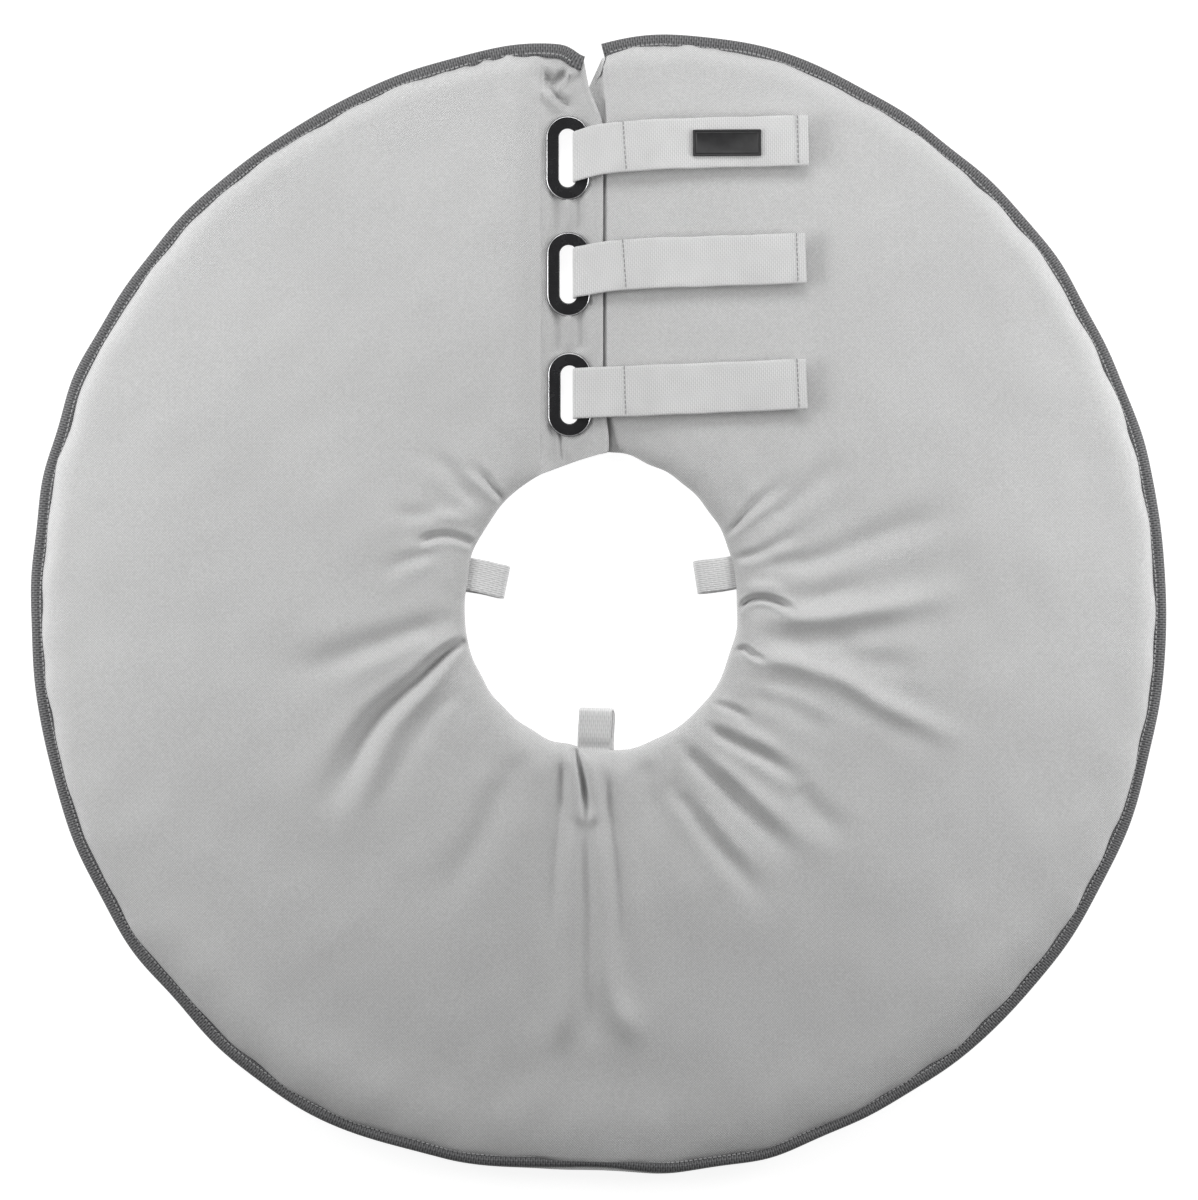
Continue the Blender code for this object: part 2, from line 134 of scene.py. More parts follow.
def round_rise(s):
    """Rises from 0 to 1 as a quarter circle: steep, then level."""
    return np.sqrt(np.clip(1 - (1 - np.clip(s, 0, 1)) ** 2, 0, 1))


def sine_rise(s):
    """Rises from 0 to 1 as a quarter of a sine wave."""
    return np.sin(np.pi / 2 * np.clip(s, 0, 1))


def hill(s):
    """A bell curve: 1 at 0, fading both ways."""
    return np.exp(-(s**2))


def fade(s):
    """Falls off from 1, beyond 0."""
    return np.exp(-np.clip(s, 0, None))


def unit(v):
    """Rows scaled to length 1."""
    return v / np.linalg.norm(v, axis=1)[:, None]


def run_length(line):
    """Distance of each point along a line from its first point."""
    return np.concatenate([[0], np.cumsum(np.linalg.norm(np.diff(line, axis=0), axis=1))])


def sample(at, along, rows):
    """Rows given at distances along a line, read off at other distances."""
    return np.stack([np.interp(at, along, column) for column in rows.T], axis=1)


def polar(radius, a):
    return np.column_stack([radius * np.cos(a), radius * np.sin(a)])


def random_wave(counts, size, seed):
    """A closed wave round the disc, from a few harmonics with seeded phases."""
    source = np.random.default_rng(seed)
    terms = [(k, source.uniform(0.4, 1), source.uniform(0, 2 * math.pi)) for k in counts]
    norm = size / math.sqrt(sum(s * s for _, s, _ in terms) / 2)

    def value(a):
        return norm * sum(s * np.cos(k * a + p) for k, s, p in terms)

    return value


def soft_noise(x, y, wavelength, seed, count=14):
    """Smooth noise over the plan, about -1 to 1."""
    source = np.random.default_rng(seed)
    total = np.zeros(np.shape(x))
    for _ in range(count):
        turn, phase = source.uniform(0, 2 * math.pi, 2)
        k = 2 * math.pi / (wavelength * source.uniform(0.7, 1.5))
        total += np.cos(k * (x * math.cos(turn) + y * math.sin(turn)) + phase)
    return total / math.sqrt(count / 2) / 1.6


def curve_through(points, count):
    """A smooth line through three or more points, evenly spaced."""
    p = np.array(points, float)
    ends = np.vstack([2 * p[0] - p[1], p, 2 * p[-1] - p[-2]])
    fine = []
    for a, b, c, d in zip(ends, ends[1:], ends[2:], ends[3:]):
        square, cube = 2 * a - 5 * b + 4 * c - d, 3 * b - a - 3 * c + d
        for t in np.linspace(0, 1, 16, endpoint=False):
            fine.append(0.5 * (2 * b + (c - a) * t + square * t**2 + cube * t**3))
    fine = np.array([*fine, p[-1]])
    length = run_length(fine)
    return sample(np.linspace(0, length[-1], count), length, fine)


def mesh_object(name, verts, faces, materials, cloth=None, face_material=None, smooth_shade=True,
                closed=True):
    """A mesh from points in millimetres. A closed one gets outward normals. Its cloth coordinates are
    where the weave lies."""
    mesh = bpy.data.meshes.new(name)
    verts = np.asarray(verts, float)
    mesh.vertices.add(len(verts))
    mesh.vertices.foreach_set("co", (verts * MM).astype(np.float32).ravel())
    sizes = [len(f) for f in faces]
    loops = np.fromiter((i for f in faces for i in f), np.int32, sum(sizes))
    mesh.loops.add(len(loops))
    mesh.loops.foreach_set("vertex_index", loops)
    mesh.polygons.add(len(faces))
    mesh.polygons.foreach_set("loop_start", np.concatenate([[0], np.cumsum(sizes)[:-1]]).astype(np.int32))
    mesh.update(calc_edges=True)
    mesh.validate()
    if smooth_shade:
        mesh.polygons.foreach_set("use_smooth", np.ones(len(mesh.polygons), bool))
    if face_material is not None:
        mesh.polygons.foreach_set("material_index", np.asarray(face_material, np.int32))
    if cloth is not None:
        layer = mesh.attributes.new("cloth", "FLOAT_VECTOR", "POINT")
        layer.data.foreach_set("vector", np.asarray(cloth * MM, np.float32).ravel())
    for material in materials:
        mesh.materials.append(material)
    if closed:
        bm = bmesh.new()
        bm.from_mesh(mesh)
        bmesh.ops.recalc_face_normals(bm, faces=bm.faces[:])
        bm.to_mesh(mesh)
        bm.free()
    obj = bpy.data.objects.new(name, mesh)
    bpy.context.scene.collection.objects.link(obj)
    return obj


def tube_faces(rings, around, first=0):
    """Faces of a tube of rings with closed ends, each with this many points round it."""
    faces = []
    for i in range(rings - 1):
        a, b = first + i * around, first + (i + 1) * around
        for j in range(around):
            n = (j + 1) % around
            faces.append((a + j, b + j, b + n, a + n))
    faces.append(tuple(first + j for j in range(around)))
    faces.append(tuple(first + (rings - 1) * around + j for j in reversed(range(around))))
    return faces


# ---- materials

class Look:
    """A new material, and short names for the nodes that the materials share."""

    def __init__(self, name):
        self.material = bpy.data.materials.new(name)
        self.material.use_nodes = True
        self.tree = self.material.node_tree

    def fill(self, node, inputs):
        """Each input takes a value, or a link from another node's socket."""
        for key, value in inputs.items():
            if isinstance(value, bpy.types.NodeSocket):
                self.tree.links.new(value, node.inputs[key])
            else:
                node.inputs[key].default_value = value

    def new(self, kind, inputs=None, **settings):
        node = self.tree.nodes.new("ShaderNode" + kind)
        for key, value in settings.items():
            setattr(node, key, value)
        self.fill(node, inputs or {})
        return node

    def surface(self, inputs):
        self.fill(self.tree.nodes["Principled BSDF"], inputs)
        return self.material

    def position(self):
        return self.new("TexCoord").outputs["Object"]

    def cloth(self):
        """Where the weave lies: as a vector, along and across."""
        vector = self.new("Attribute", attribute_name="cloth").outputs["Vector"]
        split = self.new("SeparateXYZ", {0: vector})
        return vector, split.outputs[0], split.outputs[1]

    def math(self, operation, a, b=0, c=0):
        return self.new("Math", {0: a, 1: b, 2: c}, operation=operation).outputs[0]

    def noise(self, vector, scale, detail=2, roughness=0.5):
        inputs = {"Vector": vector, "Scale": scale, "Detail": detail, "Roughness": roughness}
        return self.new("TexNoise", inputs).outputs["Fac"]

    def remap(self, value, low, high, to_low, to_high):
        inputs = {"Value": value, "From Min": low, "From Max": high, "To Min": to_low, "To Max": to_high}
        return self.new("MapRange", inputs).outputs[0]

    def mix(self, factor, a, b):
        """Between two colours."""
        inputs = {0: factor, 6: (*a, 1), 7: (*b, 1)}
        return self.new("Mix", inputs, data_type="RGBA").outputs[2]

    def tinted(self, colour, shade):
        """A colour times a shade."""
        return self.new("VectorMath", {0: colour, "Scale": shade}, operation="SCALE").outputs[0]

    def bump(self, height, strength, depth):
        """The depth is in millimetres."""
        inputs = {"Height": height, "Strength": strength, "Distance": depth * MM}
        return self.new("Bump", inputs).outputs[0]

    def wave(self, value, pitch, phase=0):
        """sin of a coordinate in metres, with a pitch in millimetres."""
        return self.math("SINE", self.math("MULTIPLY_ADD", value, 2 * math.pi / (pitch * MM), phase))


def woven_cloth(name, colour, pitch, contrast, depth):
    """A plain weave: warp and weft cross over and under, with uneven threads and faint soiling, and with
    painted shade where the threads dip under. Its shade attribute paints more shade into parts of it."""
    n = Look(name)
    vector, x, y = n.cloth()
    wobble = n.noise(vector, 260)
    warp = n.wave(n.math("MULTIPLY_ADD", wobble, 0.35 * MM, x), 2 * pitch)
    weft = n.wave(n.math("MULTIPLY_ADD", wobble, -0.35 * MM, y), 2 * pitch)
    over = n.math("MULTIPLY", warp, weft)
    threads = n.math("ADD", n.math("ABSOLUTE", warp), n.math("ABSOLUTE", weft))
    uneven = n.noise(vector, 900, 3, 0.6)
    height = n.math("ADD", n.math("MULTIPLY", over, 0.6), n.math("MULTIPLY", threads, 0.25))
    height = n.math("MULTIPLY_ADD", uneven, 0.35, height)
    patches = n.noise(vector, 14, 4, 0.55)
    # Painted shade and highlight: the colour is darker where the threads dip under and lighter where they
    # cross over, as light falls on the weave.
    shade = n.remap(over, -1, 1, 1 - contrast, 1 + contrast * 0.6)
    # This attribute holds painted shade: below 1 it darkens the colour.
    painted_shade = n.new("Attribute", attribute_name="painted_shade").outputs["Fac"]
    for factor in (
        n.remap(uneven, 0.25, 0.75, 1 - contrast * 0.35, 1 + contrast * 0.3),
        n.remap(patches, 0.3, 0.7, 0.975, 1.025),
        painted_shade,
    ):
        shade = n.math("MULTIPLY", shade, factor)
    return n.surface({
        "Base Color": n.tinted(colour, shade), "Roughness": n.remap(uneven, 0.2, 0.8, 0.72, 0.9),
        "Normal": n.bump(height, 0.5, depth), "Specular IOR Level": 0.25, "Sheen Weight": 0.12,
        "Sheen Roughness": 0.45,
    })


def ribbed_tape(name, colour, rib_pitch, cross_pitch, contrast, depth, turned=False):
    """Tape or webbing with ribs across it, or along it when turned: cloth x runs along the tape and
    y across it."""
    n = Look(name)
    vector, along, across = n.cloth()
    along = n.math("MULTIPLY_ADD", n.noise(vector, 300), 0.3 * MM, along)
    ribs, crossing_ribs = n.wave(along, rib_pitch), n.wave(across, cross_pitch)
    if turned:
        ribs, crossing_ribs = crossing_ribs, ribs
    twill = n.math("MULTIPLY", n.wave(along, 2 * rib_pitch), n.wave(across, 2 * cross_pitch))
    uneven = n.noise(vector, 1100, 3, 0.6)
    height = n.math("MULTIPLY_ADD", twill, 0.35, n.math("MULTIPLY", ribs, 0.5))
    height = n.math("MULTIPLY_ADD", crossing_ribs, 0.15, height)
    height = n.math("MULTIPLY_ADD", uneven, 0.4, height)
    # The colour follows the height: painted shade in the grooves and painted highlight on the rib crests,
    # together with the threads' own uneven tone.
    shade = n.remap(height, -0.8, 1.1, 1 - contrast, 1 + contrast)
    shade = n.math("MULTIPLY", shade, n.remap(n.noise(vector, 45, 3), 0.3, 0.7, 0.95, 1.05))
    return n.surface({
        "Base Color": n.tinted(colour, shade), "Roughness": n.remap(uneven, 0.2, 0.8, 0.65, 0.85),
        "Normal": n.bump(height, 0.6, depth), "Specular IOR Level": 0.3, "Sheen Weight": 0.1,
        "Sheen Roughness": 0.4,
    })


def fuzzy_tape(name, colour):
    """Hook or loop tape: a dense pile."""
    n = Look(name)
    vector, _, _ = n.cloth()
    cells = n.new("TexVoronoi", {"Vector": vector, "Scale": 1100})
    height = n.math("ADD", cells.outputs["Distance"], n.noise(vector, 2200, 3, 0.7))
    # The colour follows the pile's height: painted shade where the pile is low.
    return n.surface({
        "Base Color": n.tinted(colour, n.remap(height, 0.4, 1.4, 0.8, 1.1)), "Roughness": 0.95,
        "Normal": n.bump(height, 0.8, 0.3), "Specular IOR Level": 0.1,
    })


def thread(name, colour):
    n = Look(name)
    dark, light = tuple(c * 0.75 for c in colour), tuple(c * 1.25 for c in colour)
    twist = n.noise(n.position(), 2500)
    return n.surface({"Base Color": n.mix(twist, dark, light), "Roughness": 0.6, "Sheen Weight": 0.2})


def black_plate(name):
    """Black nickel plating with faint smears and fine scratches."""
    n = Look(name)
    position = n.position()
    smears, fine = n.noise(position, 120, 4, 0.6), n.noise(position, 1800)
    return n.surface({
        "Base Color": n.mix(smears, (0.010, 0.010, 0.011), (0.026, 0.026, 0.028)),
        "Roughness": n.remap(smears, 0.3, 0.7, 0.16, 0.32), "Normal": n.bump(fine, 0.15, 0.05),
        "Specular IOR Level": 0.5, "Coat Weight": 0.3, "Coat Roughness": 0.08,
    })


def bright_rim(name):
    """The eyelet's bright metal edge, which also carries a painted highlight: its colour is bright enough to
    shine all round, and wear patches vary it.
    """
    n = Look(name)
    wear = n.noise(n.position(), 90, 3, 0.6)
    highlight_and_wear = n.remap(wear, 0.35, 0.60, 0, 1)
    return n.surface({
        "Base Color": n.mix(highlight_and_wear, (0.45, 0.45, 0.46), (0.92, 0.92, 0.93)),
        "Roughness": n.remap(wear, 0.3, 0.7, 0.22, 0.38), "Metallic": 0.75,
    })


def rubber(name, colour, roughness):
    """Fine-grained, with a little dust."""
    n = Look(name)
    position = n.position()
    grain, dust = n.noise(position, 2600, 3, 0.6), n.noise(position, 160, 4, 0.6)
    return n.surface({
        "Base Color": n.mix(n.remap(dust, 0.35, 0.75, 0, 1), colour, tuple(c * 1.5 for c in colour)),
        "Roughness": n.remap(grain, 0.3, 0.7, roughness - 0.08, roughness + 0.08),
        "Normal": n.bump(grain, 0.4, 0.06), "Specular IOR Level": 0.35,
    })


FABRIC = woven_cloth("cloth_shell", (0.615, 0.615, 0.615), 0.62, 0.30, 0.18)
BINDING = ribbed_tape("tape_binding", (0.135, 0.135, 0.138), 1.25, 1.5, 0.85, 0.3)
WEBBING = ribbed_tape("tape_webbing", (0.655, 0.655, 0.655), 1, 1.1, 0.16, 0.16)
LOOP_WEBBING = ribbed_tape("tape_loops", (0.69, 0.69, 0.69), 2.2, 1.05, 0.16, 0.2, turned=True)
HOOK = fuzzy_tape("pile_hook", (0.42, 0.42, 0.42))
LOOP = fuzzy_tape("pile_loop", (0.50, 0.50, 0.50))
THREAD_LIGHT = thread("thread_light", (0.27, 0.27, 0.27))
THREAD_GREY = thread("thread_grey", (0.34, 0.34, 0.345))
PLATE = black_plate("plate_black")
RIM = bright_rim("plate_rim")
LABEL = rubber("rubber_label", (0.032, 0.032, 0.033), 0.55)


# ---- the disc's outline

rim_wobble = random_wave(range(9, 40, 3), 0.35, 3)
neck_wobble = random_wave(range(7, 26, 2), 0.3, 4)
bulge_wobble = random_wave(range(20, 75, 5), 0.42, 5)
bulge_slow = random_wave(range(5, 18, 2), 0.35, 6)


def outline(mean, terms, bumps, a):
    """A radius with its waves and bumps. An angle is turned into degrees between -180 and 180."""
    turn = np.degrees(np.arctan2(np.sin(a), np.cos(a)))
    r = mean + sum(size * np.cos(count * a - math.radians(crest)) for count, size, crest in terms)
    return r, sum(size * hill((turn - at) / width) for at, width, size in bumps)


def rim_radius(a):
    """The rim, drawn in beside the slit where the closure gathers it."""
    r, bumps = outline(OUTER_RADIUS, OUTER_WAVES, RIM_BUMPS, a)
    x, above = r * np.cos(a), np.sin(a) > 0
    right = np.where(above & (x >= -2), 6.5 * fade((x - BINDING_RIGHT_X) / 32), 0)
    d = np.clip(-x + BINDING_LEFT_X, 0, None)
    left = np.where(above & (x < -2), 7.5 * np.exp(-d / 45) + 5 * hill(d / 7), 0)
    return r - right - left + rim_wobble(a) + bumps


def neck_radius(a):
    """The neck's edge, raised to a low peak where the slit meets it."""
    r, bumps = outline(NECK_RADIUS, NECK_WAVES, NECK_BUMPS, a)
    peak = np.where(np.sin(a) > 0, 2.6 * np.exp(-abs(r * np.cos(a) - 4.8) / 11), 0)
    return r + peak + neck_wobble(a) + bumps


def right_seam(x, edge_x):
    return RIGHT_SEAM + (SEAM - RIGHT_SEAM) * smooth((x - edge_x) / 40)


# ---- creases

# Each fold of the cloth: its half-width at the start and at the end, its height, the share of its
# length after which it fades, and its points. A valley's height is negative. They run outwards from
# the neck's edge, where the cloth is gathered.
CREASES = (
    # right of the neck, from the top down
    (1.4, 4, -2.2, 0.4, (65, 35.5), (75.4, 47.6), (84.9, 56), (97, 65)),
    (2.4, 4, 0.8, 0.4, (71, 36), (80, 46), (90, 54.5)),
    (3.5, 7, -1.5, 0.5, (84, 43), (99.6, 55), (112, 66.5), (129, 80)),
    (2, 3.5, -2.2, 0.5, (69.5, 23), (80.7, 26.6), (91.2, 31.9), (103, 38)),
    (3, 3.5, 0.8, 0.4, (76, 22), (90, 28), (104, 34)),
    (4, 8, -2.1, 0.6, (88, 21), (109, 24.5), (130, 33), (151, 41), (190, 54)),
    (4, 6, -1, 0.4, (108, 3.5), (119.5, 8.5), (135, 14.5)),
    (1.2, 1.8, -3.8, 0.6, (70.5, -2.2), (75.4, 2.1), (82.8, 3.3), (91.2, 0.7), (101.5, -5)),
    (2.4, 2.8, 1.3, 0.5, (74, 6.8), (84, 8), (96, 4.5)),
    (4.6, 7, 3.7, 0.45, (88, -7.2), (109, -7.4), (130, -4.6), (151, -0.8), (192, 8)),
    (4, 6, -1.2, 0.4, (84, -15), (104, -17.5), (125, -14), (150, -10)),
    (1.2, 1.6, -2.2, 0.5, (68.5, -23.6), (73, -21.9), (77.5, -25.3), (86, -28.4)),
    (3.9, 5.5, 2.5, 0.62, (78, -29), (92, -29.5), (106, -33), (122.7, -39), (140.5, -49.5),
     (161.5, -59.5), (190, -73)),
    (3, 5, -1, 0.4, (80, -37.5), (98, -40.5), (116, -48.5), (138, -61)),
    (5, 6, -1.5, 0.5, (118, -19.5), (140.5, -27), (166, -28)),
    (4, 6, -1.1, 0.5, (76.5, -44), (93.3, -48), (109, -56), (131, -65)),
    (1.6, 2.2, -1.6, 0.5, (59, -49.6), (67, -52), (77.5, -58)),
    (2.5, 3.8, -2.4, 0.55, (55.5, -61), (69.1, -68.9), (82.8, -75.2), (93.3, -81.5), (107, -88.5)),
    (3, 3.5, 1.1, 0.5, (62, -59), (75, -65), (95, -75)),
    (3.3, 5.6, -2.4, 0.5, (42, -70.5), (53.3, -81.5), (63.9, -91), (74.4, -101.5), (86, -113), (105, -130)),
    (4, 6, 1.6, 0.5, (56, -76), (75, -94), (95, -112), (116, -135)),
    (5, 6, -1.6, 0.5, (99.6, -90), (112, -103.7), (129, -118)),
    (3.4, 5.4, -2, 0.5, (38, -92), (47, -102.5), (58.3, -117.3), (72, -133.5), (91, -156)),
    (4, 5, 1.3, 0.5, (52, -101), (64, -116), (84, -139)),
    # below the neck: one short deep fold, closed by a puffed lip, between two long pleats
    (1.5, 1.4, -2.9, 0.7, (-12.1, -69.5), (-9.7, -80), (-7.6, -90), (-6.1, -104)),
    (2.3, 2.7, 2.1, 0.8, (-15.4, -75), (-13.2, -88), (-11, -102), (-7.2, -113)),
    (2.3, 2.7, 2.1, 0.8, (-4.9, -74), (-2.6, -88), (-1.4, -101), (-4.6, -113)),
    (3, 5.6, -1.7, 0.55, (-16.8, -76), (-19.3, -95), (-20.8, -114.8), (-22.6, -146), (-24.5, -184)),
    (2.8, 5.6, -1.9, 0.5, (5.6, -77), (5.3, -95), (7, -114.8), (9.2, -139.8), (12, -184), (18, -210)),
    (4.4, 6.5, 2.1, 0.8, (-13.8, -108), (-14.6, -150), (-15.5, -195), (-20.5, -228)),
    (4.4, 6.5, 2.1, 0.8, (-0.5, -108), (2, -150), (6, -195), (24, -224)),
    (4.4, 10, -1.1, 0.55, (-6.5, -118), (-6.4, -165), (-4.5, -225), (-2, -256)),
    (13, 13, -0.8, 0.6, (-52, -216), (-24, -227), (6, -229), (34, -222), (56, -209)),
    (6, 9, -1.7, 0.5, (-46, -84), (-55.5, -106), (-70.5, -133), (-84, -166)),
    (5, 8, -1.1, 0.4, (22, -78), (27, -100), (35, -132)),
    (5, 8, 0.9, 0.4, (-30, -76), (-34, -104), (-40, -140)),
    # left of the neck, from the top down
    (1.5, 2.6, -1.8, 0.5, (-47, 52), (-51.6, 57), (-56.9, 63.4), (-66, 71)),
    (2, 3, 0.9, 0.5, (-54, 53), (-60, 60), (-68, 68)),
    (3, 5, -1.7, 0.5, (-60, 50), (-69.5, 61.3), (-75.8, 69.6), (-90, 82)),
    (3, 4, -1.2, 0.5, (-80, 45), (-94, 45.8), (-106, 51)),
    (1.8, 1.8, -2.8, 0.75, (-61.5, 30.4), (-69.5, 33.3), (-76.8, 34.6), (-84.2, 33.4), (-92.5, 29.8)),
    (3, 4, 1.5, 0.5, (-66, 41), (-79, 42.5), (-98, 37.5)),
    (2.8, 4.5, -1.6, 0.35, (-83, 25.8), (-90.5, 24.5), (-101, 21), (-112, 15)),
    (1, 1.2, -0.9, 0.5, (-66, 6.5), (-69, 2.5), (-71.5, -1)),
    (5, 10, -2.8, 0.5, (-78, -7), (-102, -14.8), (-117.8, -20), (-133.5, -25.3), (-172, -33)),
    (5, 6, 1, 0.5, (-80, -16.5), (-104, -26), (-130, -35), (-156, -40)),
    (1.7, 8.5, -4.8, 0.6, (-64.5, -16.5), (-73.7, -21.6), (-82, -29), (-90.5, -37.4), (-102, -46.8),
     (-110.4, -55.2), (-117.8, -65.7), (-124, -77.3), (-129.3, -88), (-140, -110)),
    (3.5, 6.5, 1.6, 0.6, (-80, -37), (-95, -53), (-108, -70), (-116, -91), (-130, -116)),
    (3, 5.5, -1, 0.5, (-72, -44), (-82, -54.2), (-89.4, -64.7), (-96.8, -77.3), (-109, -102)),
    # on the flap
    (1.2, 1.4, -1.6, 0.7, (-18.6, 88), (-18.4, 78), (-17, 68)),
    (2.6, 2.6, -1.2, 0.7, (-23, 90), (-22.5, 78), (-23, 66)),
    (3.6, 2.6, -4.6, 0.85, (-28, 264.5), (-22, 262.3), (-15.8, 265.5)),
    (1.5, 1.4, 3.4, 0.75, (-12, 266.5), (-16.5, 261), (-20.5, 257.4), (-23, 255.8)),
    (1.6, 1.8, -3.2, 0.6, (-22, 258), (-20.8, 254), (-16.3, 251), (-11, 250)),
    (1.8, 2, 1.4, 0.6, (-26, 254.5), (-22.5, 249.5), (-16, 246.8)),
    (2.5, 2.7, -1.6, 0.8, (-21.6, 205), (-20.8, 193), (-21.8, 182)),
    (1.8, 2, 0.8, 0.7, (-15.6, 202), (-15.2, 193), (-15.8, 185)),
    (2.3, 2.5, -1.4, 0.8, (-10.4, 204), (-10, 193), (-11, 183)),
    (2.7, 2.8, -1.6, 0.8, (-21, 146), (-20.2, 134), (-21.2, 123)),
    (1.8, 2, 0.8, 0.7, (-15.4, 144), (-15, 134), (-15.4, 125)),
    (2.5, 2.7, -1.6, 0.8, (-9.4, 145), (-9, 134), (-10, 124)),
)


def crease_field(x, y):
    """The height that the folds add to each point of the cloth."""
    flat_x, flat_y = x.ravel(), y.ravel()
    out = np.zeros(flat_x.shape)
    for w0, w1, height, hold, *points in CREASES:
        line = curve_through(points, 30)
        if height < 0:
            # The given line follows a valley's shaded upper wall, and its floor lies a little lower.
            run = unit(np.gradient(line, axis=0))
            below = np.column_stack([-run[:, 1], run[:, 0]])
            below *= np.where(below[:, 1:] > 0, -1, 1)
            width = np.linspace(w0, w1, len(line))[:, None]
            line = line + below * width * 0.6 * abs(below[:, 1:])
        reach = 3.2 * max(w0, w1)
        low, high = line.min(0) - reach, line.max(0) + reach
        inside = (flat_x > low[0]) & (flat_x < high[0]) & (flat_y > low[1]) & (flat_y < high[1])
        near = np.nonzero(inside)[0]
        p = np.column_stack([flat_x[near], flat_y[near]])
        # The nearest place on the line: how far off, and how far along as a share of the whole.
        a, ab = line[:-1], np.diff(line, axis=0)
        t = np.clip(((p[:, None] - a) * ab).sum(2) / (ab**2).sum(1), 0, 1)
        gap = np.linalg.norm(p[:, None] - a - t[..., None] * ab, axis=2)
        best = gap.argmin(1)
        rows = np.arange(len(p))
        d, s = gap[rows, best], (best + t[rows, best]) / len(ab)
        w = w0 + (w1 - w0) * s
        start = smooth(s / 0.12) * 0.65 + 0.35
        end = 1 - smooth((s - hold) / (1 - hold))
        # A swelling on both sides balances each fold.
        out[near] += height * start * end * (hill(d / w) - 0.22 * hill((d - 2 * w) / w))
    return out.reshape(x.shape)


# ---- the padded disc

def crossing(radius_at, x):
    """The angle above the neck where an outline meets a line of constant x."""
    a = math.pi / 2
    for _ in range(30):
        a = math.acos(x / float(radius_at(np.array(a))))
    return a


def crossings(radius_at, right_x, left_x):
    """Where an outline starts right of the slit and, clockwise from there, ends left of it."""
    return crossing(radius_at, right_x), crossing(radius_at, left_x) - 2 * math.pi


def ray_shares():
    """Where the pad's rays stand, from 0 right of the slit to 1 left of it: closer at both ends, round
    the folds and at the bottom."""
    edge = 0.045
    spread = np.linspace(edge, 1 - edge, 3000)
    crowd = 1 + 1.9 * hill((spread - 0.508) / 0.028)
    crowd = crowd + 0.35 * smooth((spread - 0.10) / 0.03) * (1 - smooth((spread - 0.42) / 0.03))
    share = np.concatenate([[0], np.cumsum((crowd[1:] + crowd[:-1]) / 2)])
    return np.concatenate([
        edge * (np.linspace(0, 1, 70, endpoint=False) ** 1.2),
        np.interp(np.linspace(0, 1, 500, endpoint=False), share / share[-1], spread),
        1 - edge * (np.linspace(1, 0, 34) ** 1.2),
    ])


def ray_ends():
    """Both ends of each ray across the cloth, from the slit's right edge clockwise to the flap's free
    edge, and how many of the rays are the pad's."""
    t = ray_shares()
    start, end = crossings(neck_radius, RIGHT_EDGE_X + 0.4, LEFT_PAD_X)
    a = start + (end - start) * t
    neck = polar(neck_radius(a), a)
    start, end = crossings(rim_radius, RIGHT_EDGE_X - 0.4, LEFT_PAD_X)
    a = start + (end - start) * t
    rim = polar(rim_radius(a) - RIM_INSET, a)
    # The flap's own rays run up it, side by side.
    share = np.linspace(0, 1, 31)[1:]
    flap_neck = neck[-1] + (np.array([FLAP_EDGE_X - 0.1, FLAP_TIP_Y]) - neck[-1]) * share[:, None]
    x = LEFT_PAD_X + (FLAP_EDGE_X - LEFT_PAD_X) * share
    top = []
    for v in x:
        if v <= BINDING_LEFT_X:
            a = crossing(rim_radius, v)
            top.append((float(rim_radius(np.array(a))) - RIM_INSET) * math.sin(a))
        else:
            top.append(np.interp(v, FLAP_TOP_X, FLAP_TOP_Y))
    flap_rim = np.column_stack([x, np.array(top)])
    return np.vstack([neck, flap_neck]), np.vstack([rim, flap_rim]), len(neck)


def pad_corner(y):
    """How far the pad's top corner is cut back to where its binding starts."""
    return 6.4 * np.clip((y - 257) / 14, 0, 1.1)


def right_pad_rise(x, y):
    """How full the pad is beside the slit: flat under the flap, a tight roll against the flap's edge,
    then a long slope."""
    step_x = FLAP_EDGE_X - 0.1 + 0.8 * smooth((y - 237) / 6) - 1.6 * smooth((y - 256) / 14)
    beyond = x - (step_x + 2.7 * hill((y - 80) / 17))
    return 0.36 * round_rise(beyond / 2.2) + 0.64 * sine_rise(beyond / 33)


def radial_steps():
    """Shares of the way from the neck to the rim, closer together where the padding curves."""
    quarter = np.linspace(0, math.pi / 2, 13)
    near = 16 * (1 - np.cos(quarter))[:-1]
    mid = np.linspace(16, 78, 44, endpoint=False)
    far = np.linspace(78, 186, 46, endpoint=False)
    edge = 186 + 26 * np.sin(np.linspace(0, math.pi / 2, 22))
    return np.concatenate([near, mid, far, edge]) / 212


def disc_plan():
    """Points of the cloth laid out flat, a row for each ray, and which of them are the flap's."""
    neck, rim, pad_rays = ray_ends()
    f = radial_steps()
    x = neck[:, None, 0] + (rim - neck)[:, None, 0] * f
    y = neck[:, None, 1] + (rim - neck)[:, None, 1] * f
    flap = np.zeros(x.shape, bool)
    flap[pad_rays:] = True
    corner = pad_corner(y) * fade((x - RIGHT_EDGE_X) / 14)
    x = x + np.where(~flap & (y > 200) & (x > -8), corner, 0)
    # The flap's free edge leans out towards its tip.
    lean = 2.9 * hill((y - 80) / 17) * smooth((x + 12) / 14)
    return x + np.where(flap, lean, 0), y, flap


